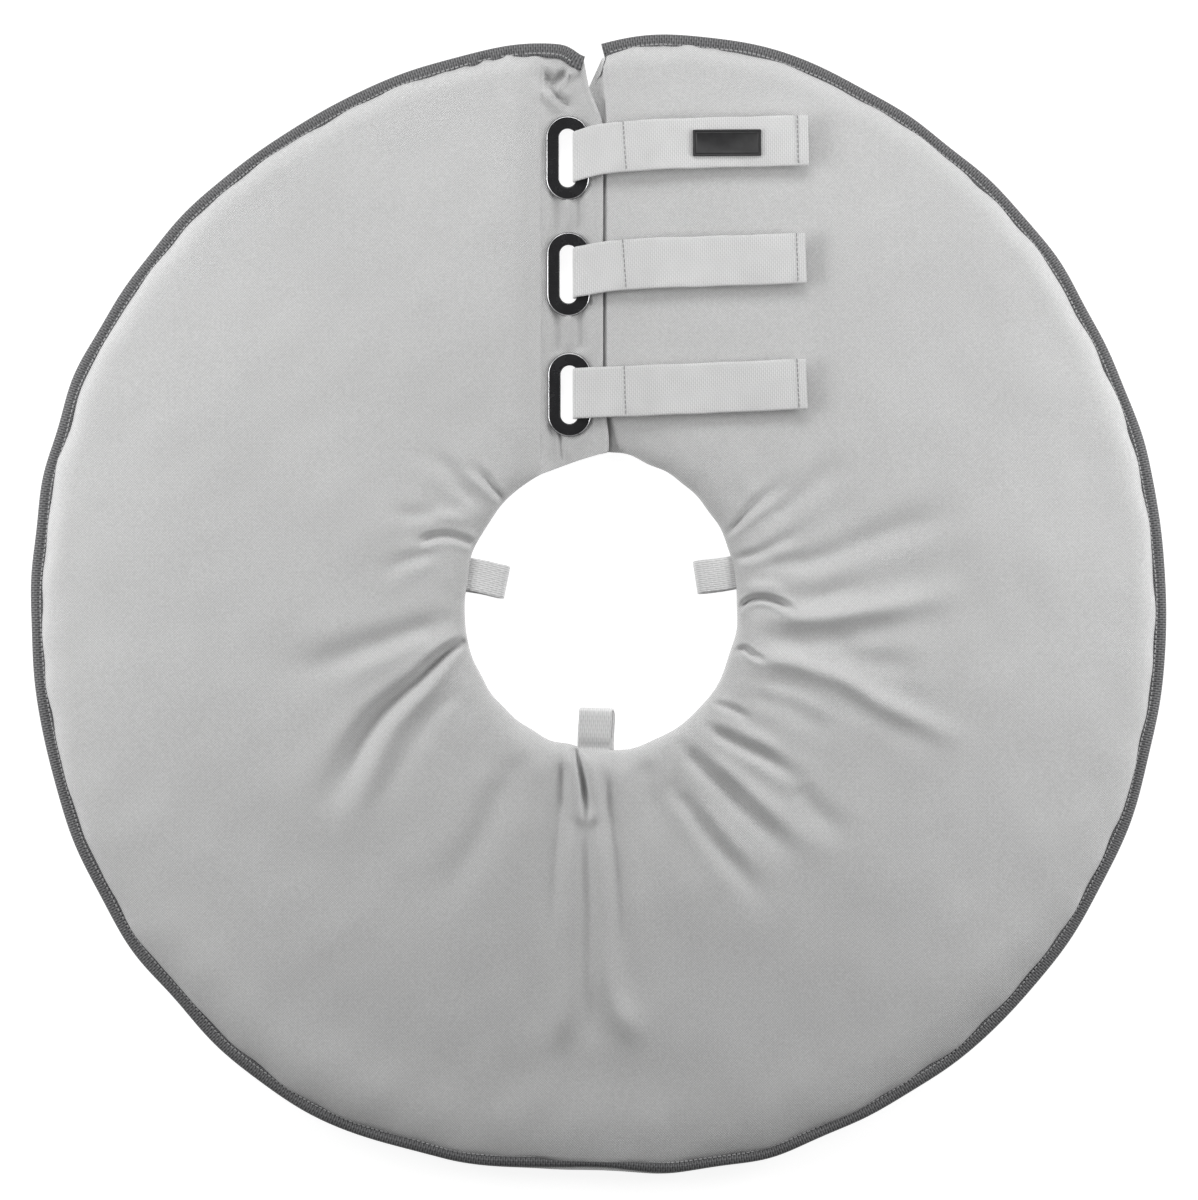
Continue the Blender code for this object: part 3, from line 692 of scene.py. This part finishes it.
def disc_layers(x, y, flap):
    """Points of the cloth's front and back."""
    a, r = np.arctan2(y, x), np.hypot(x, y)
    from_neck = r - neck_radius(a)
    inside = rim_radius(a) - r - (FLANGE - 0.4 - bulge_wobble(a) * 0.6)
    right_side, left_side = ~flap & (y > 0) & (x > SLIT_X), ~flap & (y > 0) & (x < SLIT_X)
    seam = np.where(right_side, right_seam(x, RIGHT_EDGE_X), SEAM)

    # How full the padding is, from 0 at its edges to 1.
    roll = 10 + 13 * smooth(0.15 - np.sin(a))
    gentle = 0.32 * smooth(np.sin(a) * 1.5)
    rise_neck = round_rise(from_neck / 13) * (1 - gentle) + sine_rise(from_neck / 32) * gentle
    rise_left = np.where(left_side, sine_rise((-27.8 - x) / 17), np.where(flap, 0, 1))
    rise_right = np.where(right_side, right_pad_rise(x, y), 1)
    rise_right_back = np.where(right_side, round_rise((x - (RIGHT_EDGE_X + pad_corner(y))) / 12), 1)
    fill = rise_neck * round_rise(inside / roll) * rise_left * rise_right
    fill_back = round_rise(from_neck / 13) * round_rise(inside / 13) * rise_left * rise_right_back
    sag = 2.4 * smooth((-y - 95) / 160) * hill(x / 150)
    front = seam + CLOTH_HALF + (PAD_TOP - sag - seam - CLOTH_HALF) * fill
    back = (seam - CLOTH_HALF) * (1 - fill_back)

    # Creases, and the slow unevenness of hand-sewn padding, which the straps press flat.
    held = smooth(from_neck / 2.5) * smooth(inside / 9)
    folds = crease_field(x, y) * held
    strapped = smooth((x + 4) / 8) * smooth((116 - x) / 10) * smooth((y - 84) / 8) * smooth((252 - y) / 8)
    uneven = 0.55 * soft_noise(x, y, 85, 21) + 0.22 * soft_noise(x, y, 34, 22)
    gathered = 0.30 * soft_noise(x, y, 15, 23) * np.exp(-from_neck / 28)
    relief = folds * smooth(fill / 0.3) + (uneven + gathered) * held * fill * (1 - 0.9 * strapped)
    front = front + np.where(flap, 0, relief)
    gathers = back_creases(x, y, a, from_neck) * fill_back * smooth(from_neck / 3)
    back = back + np.where(flap, 0, gathers)

    # The flap, with a hem along its free edge. The pad runs into it with no step.
    puckers = 0.16 * soft_noise(x, y, 16, 24) + 0.10 * soft_noise(x, y, 7, 25)
    from_edge = x - np.interp(y, FLAP_EDGE_Y, FLAP_EDGE_AT)
    hem = 0.45 * hill((from_edge + 1.5) / 1.1) - 0.30 * hill((from_edge + 3.6) / 0.7)
    flap_folds = (folds + puckers) * (1 - 0.5 * smooth((x + 6) / 6)) + hem
    middle = FLAP_HEIGHT + 0.33 * np.clip(x + 4, 0, None)
    into_flap = np.where(left_side, smooth((x + 30.5) / 2.5), 0)
    front = front * (1 - into_flap) + (FLAP_HEIGHT + FLAP_ABOVE + folds + puckers) * into_flap
    front = np.where(flap, middle + FLAP_ABOVE + flap_folds, front)
    back = back * (1 - into_flap) + (FLAP_HEIGHT - FLAP_BELOW) * into_flap
    back = np.where(flap, middle - FLAP_BELOW + flap_folds * 0.8, back)
    front = np.maximum(front, back + CLOTH_GAP)

    # The front bulges outwards over the binding, most at the bottom.
    level = np.clip((front - seam) / (PAD_TOP - seam), 0, 1)
    turn = np.degrees(a)
    bottom = np.exp(-(((turn + 88) / 34) ** 4))
    bulge = 0.35 + (bulge_slow(a) * 0.5 + bulge_wobble(a) * 0.8) * (1 - 0.75 * bottom)
    bulge = bulge - 1.4 * scallops(a) + 1.9 * bottom + 4.4 * hill((turn + 91) / 6.5)
    bulge = np.clip(bulge, 0.1, None) * np.sin(np.pi * level**0.8) * fade(inside / 7)
    bulge = np.where(flap | (rise_left < 0.99), 0, bulge)
    front_points = np.stack([x + bulge * np.cos(a), y + bulge * np.sin(a), front], axis=2)
    return front_points, np.stack([x, y, back], axis=2)


def disc_faces(x, y, flap):
    """Faces of both layers, joined round every edge and inside the slots. Each ray's points are
    numbered along its front and then back along its back."""
    rays, steps = x.shape
    cx, cy = (x[:-1, :-1] + x[1:, 1:]) / 2, (y[:-1, :-1] + y[1:, 1:]) / 2
    hole = np.zeros(cx.shape, bool)
    for slot_x, centre in EYELETS.values():
        dy = np.clip(np.abs(cy - centre) - SLOT_HALF_STRAIGHT, 0, None)
        hole |= (np.hypot(cx - slot_x, dy) < SLOT_HALF_WIDTH + 1.9) & flap[1:, 1:]

    def front(i, j):
        return i * 2 * steps + j

    def back(i, j):
        return i * 2 * steps + (2 * steps - 1 - j)

    faces = []
    last = steps - 1
    for i in range(rays - 1):
        for j in range(last):
            if not hole[i, j]:
                faces.append((front(i, j), front(i, j + 1), front(i + 1, j + 1), front(i + 1, j)))
                faces.append((back(i, j), back(i + 1, j), back(i + 1, j + 1), back(i, j + 1)))
        faces.append((front(i, 0), front(i + 1, 0), back(i + 1, 0), back(i, 0)))
        faces.append((front(i, last), back(i, last), back(i + 1, last), front(i + 1, last)))
    for i in (0, rays - 1):
        for j in range(last):
            quad = (front(i, j), back(i, j), back(i, j + 1), front(i, j + 1))
            faces.append(quad if i == 0 else quad[::-1])
    padded = np.pad(hole, 1)
    for i, j in zip(*np.nonzero(hole)):
        a, b, c, d = (i, j), (i, j + 1), (i + 1, j + 1), (i + 1, j)
        for di, dj, p, q in ((-1, 0, a, b), (1, 0, c, d), (0, -1, d, a), (0, 1, b, c)):
            if not padded[i + 1 + di, j + 1 + dj]:
                faces.append((front(*p), back(*p), back(*q), front(*q)))
    return faces


def build_disc():
    x, y, flap = disc_plan()
    front, back = disc_layers(x, y, flap)
    points = np.concatenate([front, back[:, ::-1]], axis=1).reshape(-1, 3)
    faces = disc_faces(x, y, flap)
    # Points inside the slots belong to no face and are left out.
    used = np.zeros(len(points), bool)
    for face in faces:
        used[list(face)] = True
    number = np.cumsum(used) - 1
    faces = [tuple(number[k] for k in face) for face in faces]
    disc = mesh_object("padded_disc", points[used], faces, [FABRIC], cloth=points[used])
    # The unpadded flap gets painted shade: its cloth colour is darkened, less towards its free edge.
    dark = np.where(flap, smooth((x + 28.5) / 7) * (1 - 0.6 * smooth((x + 9) / 7)), 0)
    painted_shade = 1 - FLAP_PAINTED_SHADE * np.concatenate([dark, dark[:, ::-1]], axis=1).ravel()[used]
    disc.data.attributes.new("painted_shade", "FLOAT", "POINT").data.foreach_set("value", painted_shade.astype(np.float32))
    return disc


def back_creases(x, y, a, from_neck):
    """On the back, the cloth gathers evenly round the neck."""
    source = np.random.default_rng(31)
    total = np.zeros(x.shape)
    count = 34
    for k in range(count):
        centre = -math.pi + 2 * math.pi * (k + source.uniform(-0.3, 0.3)) / count
        bend = source.uniform(-0.003, 0.003)
        reach, depth, width = source.uniform(18, 70), source.uniform(0.5, 2.2), source.uniform(1.6, 3.6)
        off = np.angle(np.exp(1j * (a - centre - bend * from_neck))) * (70 + 0.35 * from_neck)
        total += depth * hill(off / (width * (1 + from_neck / 60))) * hill(from_neck / reach)
    return total + 0.35 * np.clip(soft_noise(x, y, 70, 33) + 0.4, 0, None)


# ---- the binding and its stitches

# The binding's outer side, from its upper edge to the rim: (inwards from the rim, up from the middle).
BINDING_UPPER = ((7.3, 0.9), (6.9, 1.75), (5.9, 2), (5.1, 1.9), (4.4, 2.25), (3, 2.5), (1.7, 2.35),
                 (0.7, 1.7), (0.1, 0.8))
BINDING_INNER = ((7.1, -0.75), (3, -0.95), (1.2, -0.6), (1.2, 0.6), (3, 0.95), (7.1, 0.75))
binding_width = random_wave(range(6, 50, 4), 0.22, 8)
binding_lift = random_wave(range(15, 60, 5), 0.22, 9)


def rim_line(count):
    """Along the rim, from the slit's right side clockwise to its left side: the angles of this many
    places, their points, the inward direction there and the distance along the rim."""
    a = np.linspace(*crossings(rim_radius, BINDING_RIGHT_X, BINDING_LEFT_X), count)
    edge = polar(rim_radius(a), a)
    tangent = unit(np.gradient(edge, axis=0))
    inward = np.column_stack([tangent[:, 1], -tangent[:, 0]])
    inward *= np.sign(-(inward * edge).sum(1))[:, None]
    return a, edge, inward, run_length(edge)


def rim_height(edge):
    x, y = edge.T
    left = np.where((y > 0) & (x > LEFT_PAD_X - 0.5), FLAP_HEIGHT, SEAM)
    return np.where((y > 0) & (x > 0), right_seam(x, BINDING_RIGHT_X), left)


def scallops(a):
    """Where the closure gathers the rim on both sides of the slit, the binding runs in short waves."""
    x = OUTER_RADIUS * np.cos(a)
    near = hill((x + 53) / 20) + 0.6 * hill((x - 38) / 22)
    wave = np.cos(2 * math.pi * (x + 51.4) / 12.8 + 0.8 * np.sin(x / 11))
    return np.where(np.sin(a) > 0, near * wave, 0)


def build_binding():
    a, edge, inward, along = rim_line(1500)
    height = rim_height(edge)
    upper = np.array(BINDING_UPPER)
    section = np.vstack([upper, [[0, 0]], upper[::-1] * [1, -1], BINDING_INNER])
    girth = run_length(section)
    stretch = 1 + binding_width(a) / 7 + 0.26 * scallops(a)
    lift = binding_lift(a) + 1.3 * scallops(a)
    rings, cloth = [], []
    for (depth, up), across in zip(section, girth):
        d = np.where(depth > 3, depth * stretch, depth)
        z = height + up + (lift * 0.6 if depth > 2.5 and up > 0 else 0)
        rings.append(np.column_stack([edge + inward * d[:, None], z]))
        cloth.append(np.column_stack([along, np.full(len(a), across), np.zeros(len(a))]))
    return swept("rim_binding", rings, cloth, BINDING)


def swept(name, rings, cloth, material):
    """A tube from the lines that run along it."""
    verts, coords = (np.stack(lines, axis=1).reshape(-1, 3) for lines in (rings, cloth))
    return mesh_object(name, verts, tube_faces(len(rings[0]), len(rings)), [material], cloth=coords)


def capsules(name, starts, ends, radius, material):
    """Many short rounded stitches as one mesh."""
    starts, span = np.asarray(starts, float), np.subtract(ends, starts)
    length, direction = np.linalg.norm(span, axis=1), unit(span)
    side = unit(np.cross([0, 0, 1], direction))
    up = np.cross(direction, side)
    rings = [(0, 0.25), (0.06, 0.8), (0.22, 1), (0.78, 1), (0.94, 0.8), (1, 0.25)]
    sides = 6
    verts, faces = [], []
    for share, scale in rings:
        for k in range(sides):
            turn = 2 * math.pi * k / sides
            sideways = side * (math.cos(turn) * radius * scale)
            upwards = up * (math.sin(turn) * radius * scale * 0.8)
            verts.append(starts + direction * (length * share)[:, None] + (sideways + upwards))
    for k in range(len(starts)):
        faces += tube_faces(len(rings), sides, first=k * len(verts))
    return mesh_object(name, np.stack(verts, axis=1).reshape(-1, 3), faces, [material])


def build_binding_stitches():
    """A row on each face of the binding."""
    a, edge, inward, along = rim_line(6000)
    height = rim_height(edge)
    marks = np.arange(3, along[-1] - 4, STITCH_PITCH)
    ends = []
    for face in (1, -1):
        for offset in (0, STITCH_PITCH - STITCH_GAP):
            at = marks + offset
            angle, z = np.interp(at, along, a), np.interp(at, along, height)
            depth = 5.2 + 0.12 * np.sin(at * 0.05) + binding_width(angle) * 0.7
            lift = binding_lift(angle) * 0.6 if face > 0 else 0
            plan = sample(at, along, edge) + sample(at, along, inward) * depth[:, None]
            ends.append(np.column_stack([plan, z + face * 2.2 + lift]))
    return capsules("binding_stitches", np.vstack(ends[::2]), np.vstack(ends[1::2]), BINDING_THREAD,
                    THREAD_GREY)


# ---- straps

ACROSS_Y = np.array([0, 1, 0])


def ribbon(name, centre, across, width, thickness, material, hem=0):
    """Webbing swept along a line: centre points and unit directions across it. A hem doubles its end."""
    normal = unit(np.cross(unit(np.gradient(centre, axis=0)), across))
    along = run_length(centre)
    half = {1: 0.35, 0.975: 0.85}  # the edges are rounded
    offsets = (-1, -0.975, -0.9, -0.6, -0.3, 0, 0.3, 0.6, 0.9, 0.975, 1)
    profile = [(o, half.get(abs(o), 1)) for o in offsets]
    thick = np.full(len(centre), thickness)
    if hem:
        thick += thickness * 0.75 * smooth((along - (along[-1] - hem)) / 1.2)
    rings, cloth = [], []
    for o, h in profile + [(o, -h) for o, h in reversed(profile)]:
        w = width / 2 * o
        wobble = 0.12 * np.sin(along * 0.21 + o * 2) * abs(o)
        edge = centre + across * (w + wobble * np.sign(o))[:, None]
        rings.append(edge + normal * (thick / 2 * h)[:, None])
        cloth.append(np.column_stack([along, np.full(len(along), w), np.full(len(along), h)]))
    return swept(name, rings, cloth, material)


def strap_tongue(place):
    """Centre points and directions across a strap, from its eyelet's bar over the flap's edge and
    along its tape."""
    plan = curve_through(STRAP_LINES[place], 110)
    x = plan[:, 0]
    from_knee = x - KNEE_X
    low, high = KNEE_Z + 0.15, 20.8
    arch = STRAP_LIFT[place] * np.sin(np.pi * np.clip(from_knee / 58, 0, 1))
    ripple = 0.18 * np.sin(x * 0.11 + len(place)) * smooth((x - 20) / 20) * (1 - smooth((x - 90) / 10))
    z = low + (high - low) * smooth(from_knee / 42) ** 0.9 + arch + ripple
    direction = unit(np.gradient(plan, axis=0))
    across = np.column_stack([-direction[:, 1], direction[:, 0], np.zeros(len(plan))])
    turn = smooth(from_knee / 26)[:, None]
    return np.column_stack([plan, z]), ACROSS_Y * (1 - turn) + across * turn


def build_strap(place, y, tongue, across):
    start = y + 0.4
    # Out of the seam, along under the flap, up through the slot, and over the eyelet's bar.
    lead = curve_through([
        (-3, start, 5.3), (-7, start, 5.25), (-10.2, start, 5.3), (-11.5, start, 5.9),
        (-12.2, start, 7), (-12.35, start, 8.6), (-12.4, start, 9.7),
        (-12.2, (start + tongue[0, 1]) / 2, 10.7),
    ], 40)[:-1]
    keep = tongue[:, 0] > -11.6
    turn = smooth((lead[:, 2] - 9) / 1.8)[:, None]
    sides = np.vstack([ACROSS_Y * (1 - turn) + across[keep][0] * turn, across[keep]])
    centre = np.vstack([lead, tongue[keep]])
    # The same strip with steps of its own, close together round the bar, and evened out twice.
    along = run_length(centre)
    at = np.concatenate([np.arange(0, 22, 0.45), np.arange(22, along[-1], 1.3), [along[-1]]])
    centre, sides = sample(at, along, centre), sample(at, along, sides)
    for _ in range(2):
        centre[1:-1] = centre[1:-1] * 0.5 + (centre[:-2] + centre[2:]) * 0.25
    obj = ribbon(f"strap_{place}_webbing", centre, sides, STRAP_WIDTH, STRAP_THICKNESS, WEBBING, STRAP_HEM)
    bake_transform(obj)
    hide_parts(f"strap_tongue_{place}", f"strap_anchor_{place}")


def build_strap_stitches(place, tongue, across):
    """Two rows of stitches across the strap, the outer one on its hem."""
    starts, ends = [], []
    for x in STRAP_SEAMS:
        k = int(np.argmin(abs(tongue[:, 0] - x)))
        c, side = tongue[k], across[k]
        top = STRAP_THICKNESS / 2 + 0.12 + (0.45 if x > 95 else 0)
        for s in np.arange(-11.2, 11, 2.45):
            starts.append(c + side * s + [rng.uniform(-0.12, 0.12), 0, top])
            ends.append(c + side * (s + 1.9) + [rng.uniform(-0.12, 0.12), 0, top])
    obj = capsules(f"strap_{place}_stitches", starts, ends, STRAP_THREAD, THREAD_LIGHT)
    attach(obj, f"strap_{place}")


def build_tape(place, kind, tongue, across, width, thickness, body, material):
    """Hook tape under a strap, or loop tape on the disc below it."""
    keep = (tongue[:, 0] > 14) & (tongue[:, 0] < 99.5)
    centre = tongue[keep].copy()
    if kind == "hook":
        centre[:, 2] -= (STRAP_THICKNESS + thickness) / 2
    else:
        base = RIGHT_SEAM + CLOTH_HALF
        centre[:, 2] = base + (PAD_TOP - base) * right_pad_rise(centre[:, 0], centre[:, 1]) + 0.72
    obj = ribbon(f"strap_{place}_{kind}_tape", centre, across[keep], width, thickness, material)
    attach(obj, body)
    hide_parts(f"{kind}_tape_{place}")


# ---- eyelets

def oval(offset, count=72):
    """Points round a slot, offset outwards from its wall."""
    half = count // 2
    points = []
    for end in (1, -1):
        for k in range(half):
            turn = math.pi * k / (half - 1) + (0 if end > 0 else math.pi)
            out = np.array([math.cos(turn), math.sin(turn)])
            points.append(np.array([0, end * SLOT_HALF_STRAIGHT]) + out * (SLOT_HALF_WIDTH + offset))
    return np.array(points)


def at_height(plan, z):
    return np.column_stack([plan, np.full(len(plan), z)])


def build_eyelet(place, x, y):
    top, back = FLAP_HEIGHT + FLAP_ABOVE, FLAP_HEIGHT - FLAP_BELOW
    # (offset from the slot's wall, height, 0 for the black face or 1 for a bright edge with a painted
    # highlight)
    section = [
        (0.55, back - 1.15, 1), (0.05, back - 0.8, 1), (0, top - 0.2, 1), (0, top + 0.75, 1),
        (0.12, top + 1.12, 1), (0.42, top + 1.32, 0), (1.2, top + 1.42, 0), (3.2, top + 1.46, 0),
        (5.1, top + 1.38, 0), (5.65, top + 1.28, 0), (5.85, top + 1.3, 1), (6.05, top + 1.22, 1),
        (6.3, top + 0.98, 1), (6.5, top + 0.6, 0), (6.62, top + 0.1, 0), (6.2, top - 0.15, 1),
        (1, top - 0.15, 0), (0.9, back - 0.1, 0), (5.6, back + 0.05, 0), (6.2, back - 0.3, 1),
        (6.1, back - 0.85, 1), (5.4, back - 1.15, 0), (3, back - 1.2, 0), (1.2, back - 1.2, 0),
    ]
    rings = [at_height(oval(offset) + [x, y], z) for offset, z, _ in section]
    count = len(rings[0])
    faces, bright = [], []
    for i in range(len(rings)):
        n = (i + 1) % len(rings)
        for j in range(count):
            m = (j + 1) % count
            faces.append((i * count + j, n * count + j, n * count + m, i * count + m))
            bright.append(section[i][2] and section[n][2])
    obj = mesh_object(f"eyelet_{place}_ring", np.vstack(rings), faces, [PLATE, RIM], face_material=bright)
    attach(obj, "upper_panel")
    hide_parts(f"eyelet_{place}", f"eyelet_washer_{place}")


# ---- label

def rounded_plate(width, height, radius, count=6):
    """Points round a rectangle with rounded corners."""
    out = []
    for sx, sy, first in ((1, 1, 0), (-1, 1, 90), (-1, -1, 180), (1, -1, 270)):
        for k in range(count):
            turn = math.radians(first + 90 * k / (count - 1))
            x, y = sx * (width / 2 - radius), sy * (height / 2 - radius)
            out.append((x + radius * math.cos(turn), y + radius * math.sin(turn)))
    return np.array(out)


def build_label(tongue):
    """A blank plate with a double raised border."""
    steps = [
        (34, 13, 0.7, 0), (34.2, 13.2, 0.7, 0.35), (34.2, 13.2, 0.7, 0.95), (33.8, 12.8, 0.6, 1.3),
        (32.8, 11.8, 0.5, 1.3), (32.4, 11.4, 0.5, 0.8), (31.6, 10.6, 0.4, 0.8), (31.3, 10.3, 0.4, 1.12),
        (30.7, 9.7, 0.4, 1.12), (30.3, 9.3, 0.4, 0.7),
    ]
    rings = [at_height(rounded_plate(width, height, radius), z) for width, height, radius, z in steps]
    k = int(np.argmin(abs(tongue[:, 0] - LABEL_X)))
    run = tongue[k + 8] - tongue[k - 8]
    place = Matrix.Translation((LABEL_X, tongue[k, 1] - 0.3, tongue[k, 2] + STRAP_THICKNESS / 2 + 0.05))
    place = place @ Matrix.Rotation(math.radians(0.4), 4, "Z")
    place = place @ Matrix.Rotation(-math.atan2(run[2], run[0]), 4, "Y")
    verts = np.array([place @ Vector(v) for v in np.vstack(rings)])
    faces = tube_faces(len(rings), len(rings[0]))
    obj = mesh_object("label_plate", verts, faces, [LABEL], smooth_shade=False)
    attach(obj, "strap_top")
    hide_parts("label_patch")


# ---- neck loops

def build_neck_loop(place, around, direction, parent, half, tip, slip):
    a, d = math.radians(around), math.radians(direction)
    edge = float(neck_radius(np.array(a)))
    origin = np.array([edge * math.cos(a), edge * math.sin(a), SEAM])
    ahead, side = np.array([math.cos(d), math.sin(d), 0]), np.array([-math.sin(d), math.cos(d), 0])
    # Out along the upper layer, round the tip, and back along the lower one.
    layer = [(-6, 0.65), (0, 0.68), (2.5, 1), (6, half * 0.85), (11, half), (tip - 2.6, half),
             (tip - 0.9, half * 0.75)]
    count = 90
    line = curve_through(layer + [(tip, 0)] + [(x, -z) for x, z in reversed(layer)], count)
    centre = origin + line[:, :1] * ahead + line[:, 1:] * [0, 0, 1]
    centre = centre + side * (0.25 * np.sin(line[:, 0] * 0.25))[:, None]
    # The two layers do not lie exactly one over the other.
    centre = centre + side * (slip * smooth((np.arange(count) - 38) / 16))[:, None]
    sides = np.tile(side, (count, 1))
    obj = ribbon(f"neck_loop_{place}_webbing", centre, sides, LOOP_WIDTH, LOOP_THICKNESS, LOOP_WEBBING)
    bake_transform(obj)
    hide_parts(f"neck_loop_{place}")


# ---- build

def across_fold(obj):
    """Bakes the object's transform into its mesh. It does not bend anything over the line where the disc
    folds, below the loops at its sides.
    """
    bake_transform(obj)


disc = build_disc()
across_fold(disc)
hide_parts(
    "front_cover_left", "front_cover_right", "front_cover_lower", "back_cover_left", "back_cover_right",
    "back_cover_lower", "foam_left", "foam_right", "foam_lower", "closure_flap",
)

binding = build_binding()
across_fold(binding)
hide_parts("edge_binding_left", "edge_binding_right", "edge_binding_lower")
stitches = build_binding_stitches()
across_fold(stitches)

for place, (x, y) in EYELETS.items():
    build_eyelet(place, x, y)
    tongue, across = strap_tongue(place)
    build_strap(place, y, tongue, across)
    build_strap_stitches(place, tongue, across)
    build_tape(place, "hook", tongue, across, *HOOK_TAPE, f"strap_{place}", HOOK)
    build_tape(place, "loop", tongue, across, *LOOP_TAPE, "upper_panel", LOOP)
    if place == "top":
        build_label(tongue)
for place, loop in NECK_LOOPS.items():
    build_neck_loop(place, *loop)


# ---- studio

def area_light(name, location, size, power):
    """A soft box that faces the middle of the disc. Metres."""
    data = bpy.data.lights.new(name, "AREA")
    data.shape = "RECTANGLE"
    data.size, data.size_y = size
    data.energy = power
    light = bpy.data.objects.new(name, data)
    light.location = location
    light.rotation_euler = (Vector() - Vector(location)).to_track_quat("-Z", "Y").to_euler()
    bpy.context.scene.collection.objects.link(light)


WHITE = (1, 1, 1, 1)
floor_material = Look("floor_white").surface({
    "Base Color": (0.35, 0.35, 0.35, 1), "Roughness": 0.9, "Emission Color": WHITE, "Emission Strength": 0.85,
})
FLOOR_HALF, FLOOR_Z = 6000, -0.3
corners = [(sx * FLOOR_HALF, sy * FLOOR_HALF, FLOOR_Z) for sx, sy in ((-1, -1), (1, -1), (1, 1), (-1, 1))]
mesh_object("floor", corners, [(0, 1, 2, 3)], [floor_material], smooth_shade=False, closed=False)

scene = bpy.context.scene
scene.world = bpy.data.worlds.new("studio")
scene.world.use_nodes = True
background = scene.world.node_tree.nodes["Background"].inputs
background["Color"].default_value = WHITE
background["Strength"].default_value = 0.12
scene.view_settings.view_transform = "Standard"
scene.view_settings.look = "None"

area_light("soft_left", (-0.75, 0.15, 0.40), (0.55, 0.35), 4.6)
area_light("soft_right", (0.75, 0.15, 0.40), (0.55, 0.35), 4.6)
area_light("soft_top", (0, 0.75, 0.45), (0.9, 0.3), 3.5)

# Straight above, so far off that the frame is 0.6 m wide at the seam's height.
SENSOR, LENS, FRAME_HALF = 36, 200, 0.3
camera_data = bpy.data.cameras.new("camera")
camera_data.sensor_width, camera_data.lens, camera_data.clip_end = SENSOR, LENS, 30
camera = bpy.data.objects.new("camera", camera_data)
camera.location = (0.25 * MM, 1.5 * MM, FRAME_HALF / (SENSOR / 2 / LENS) + SEAM * MM)
scene.collection.objects.link(camera)
scene.camera = camera
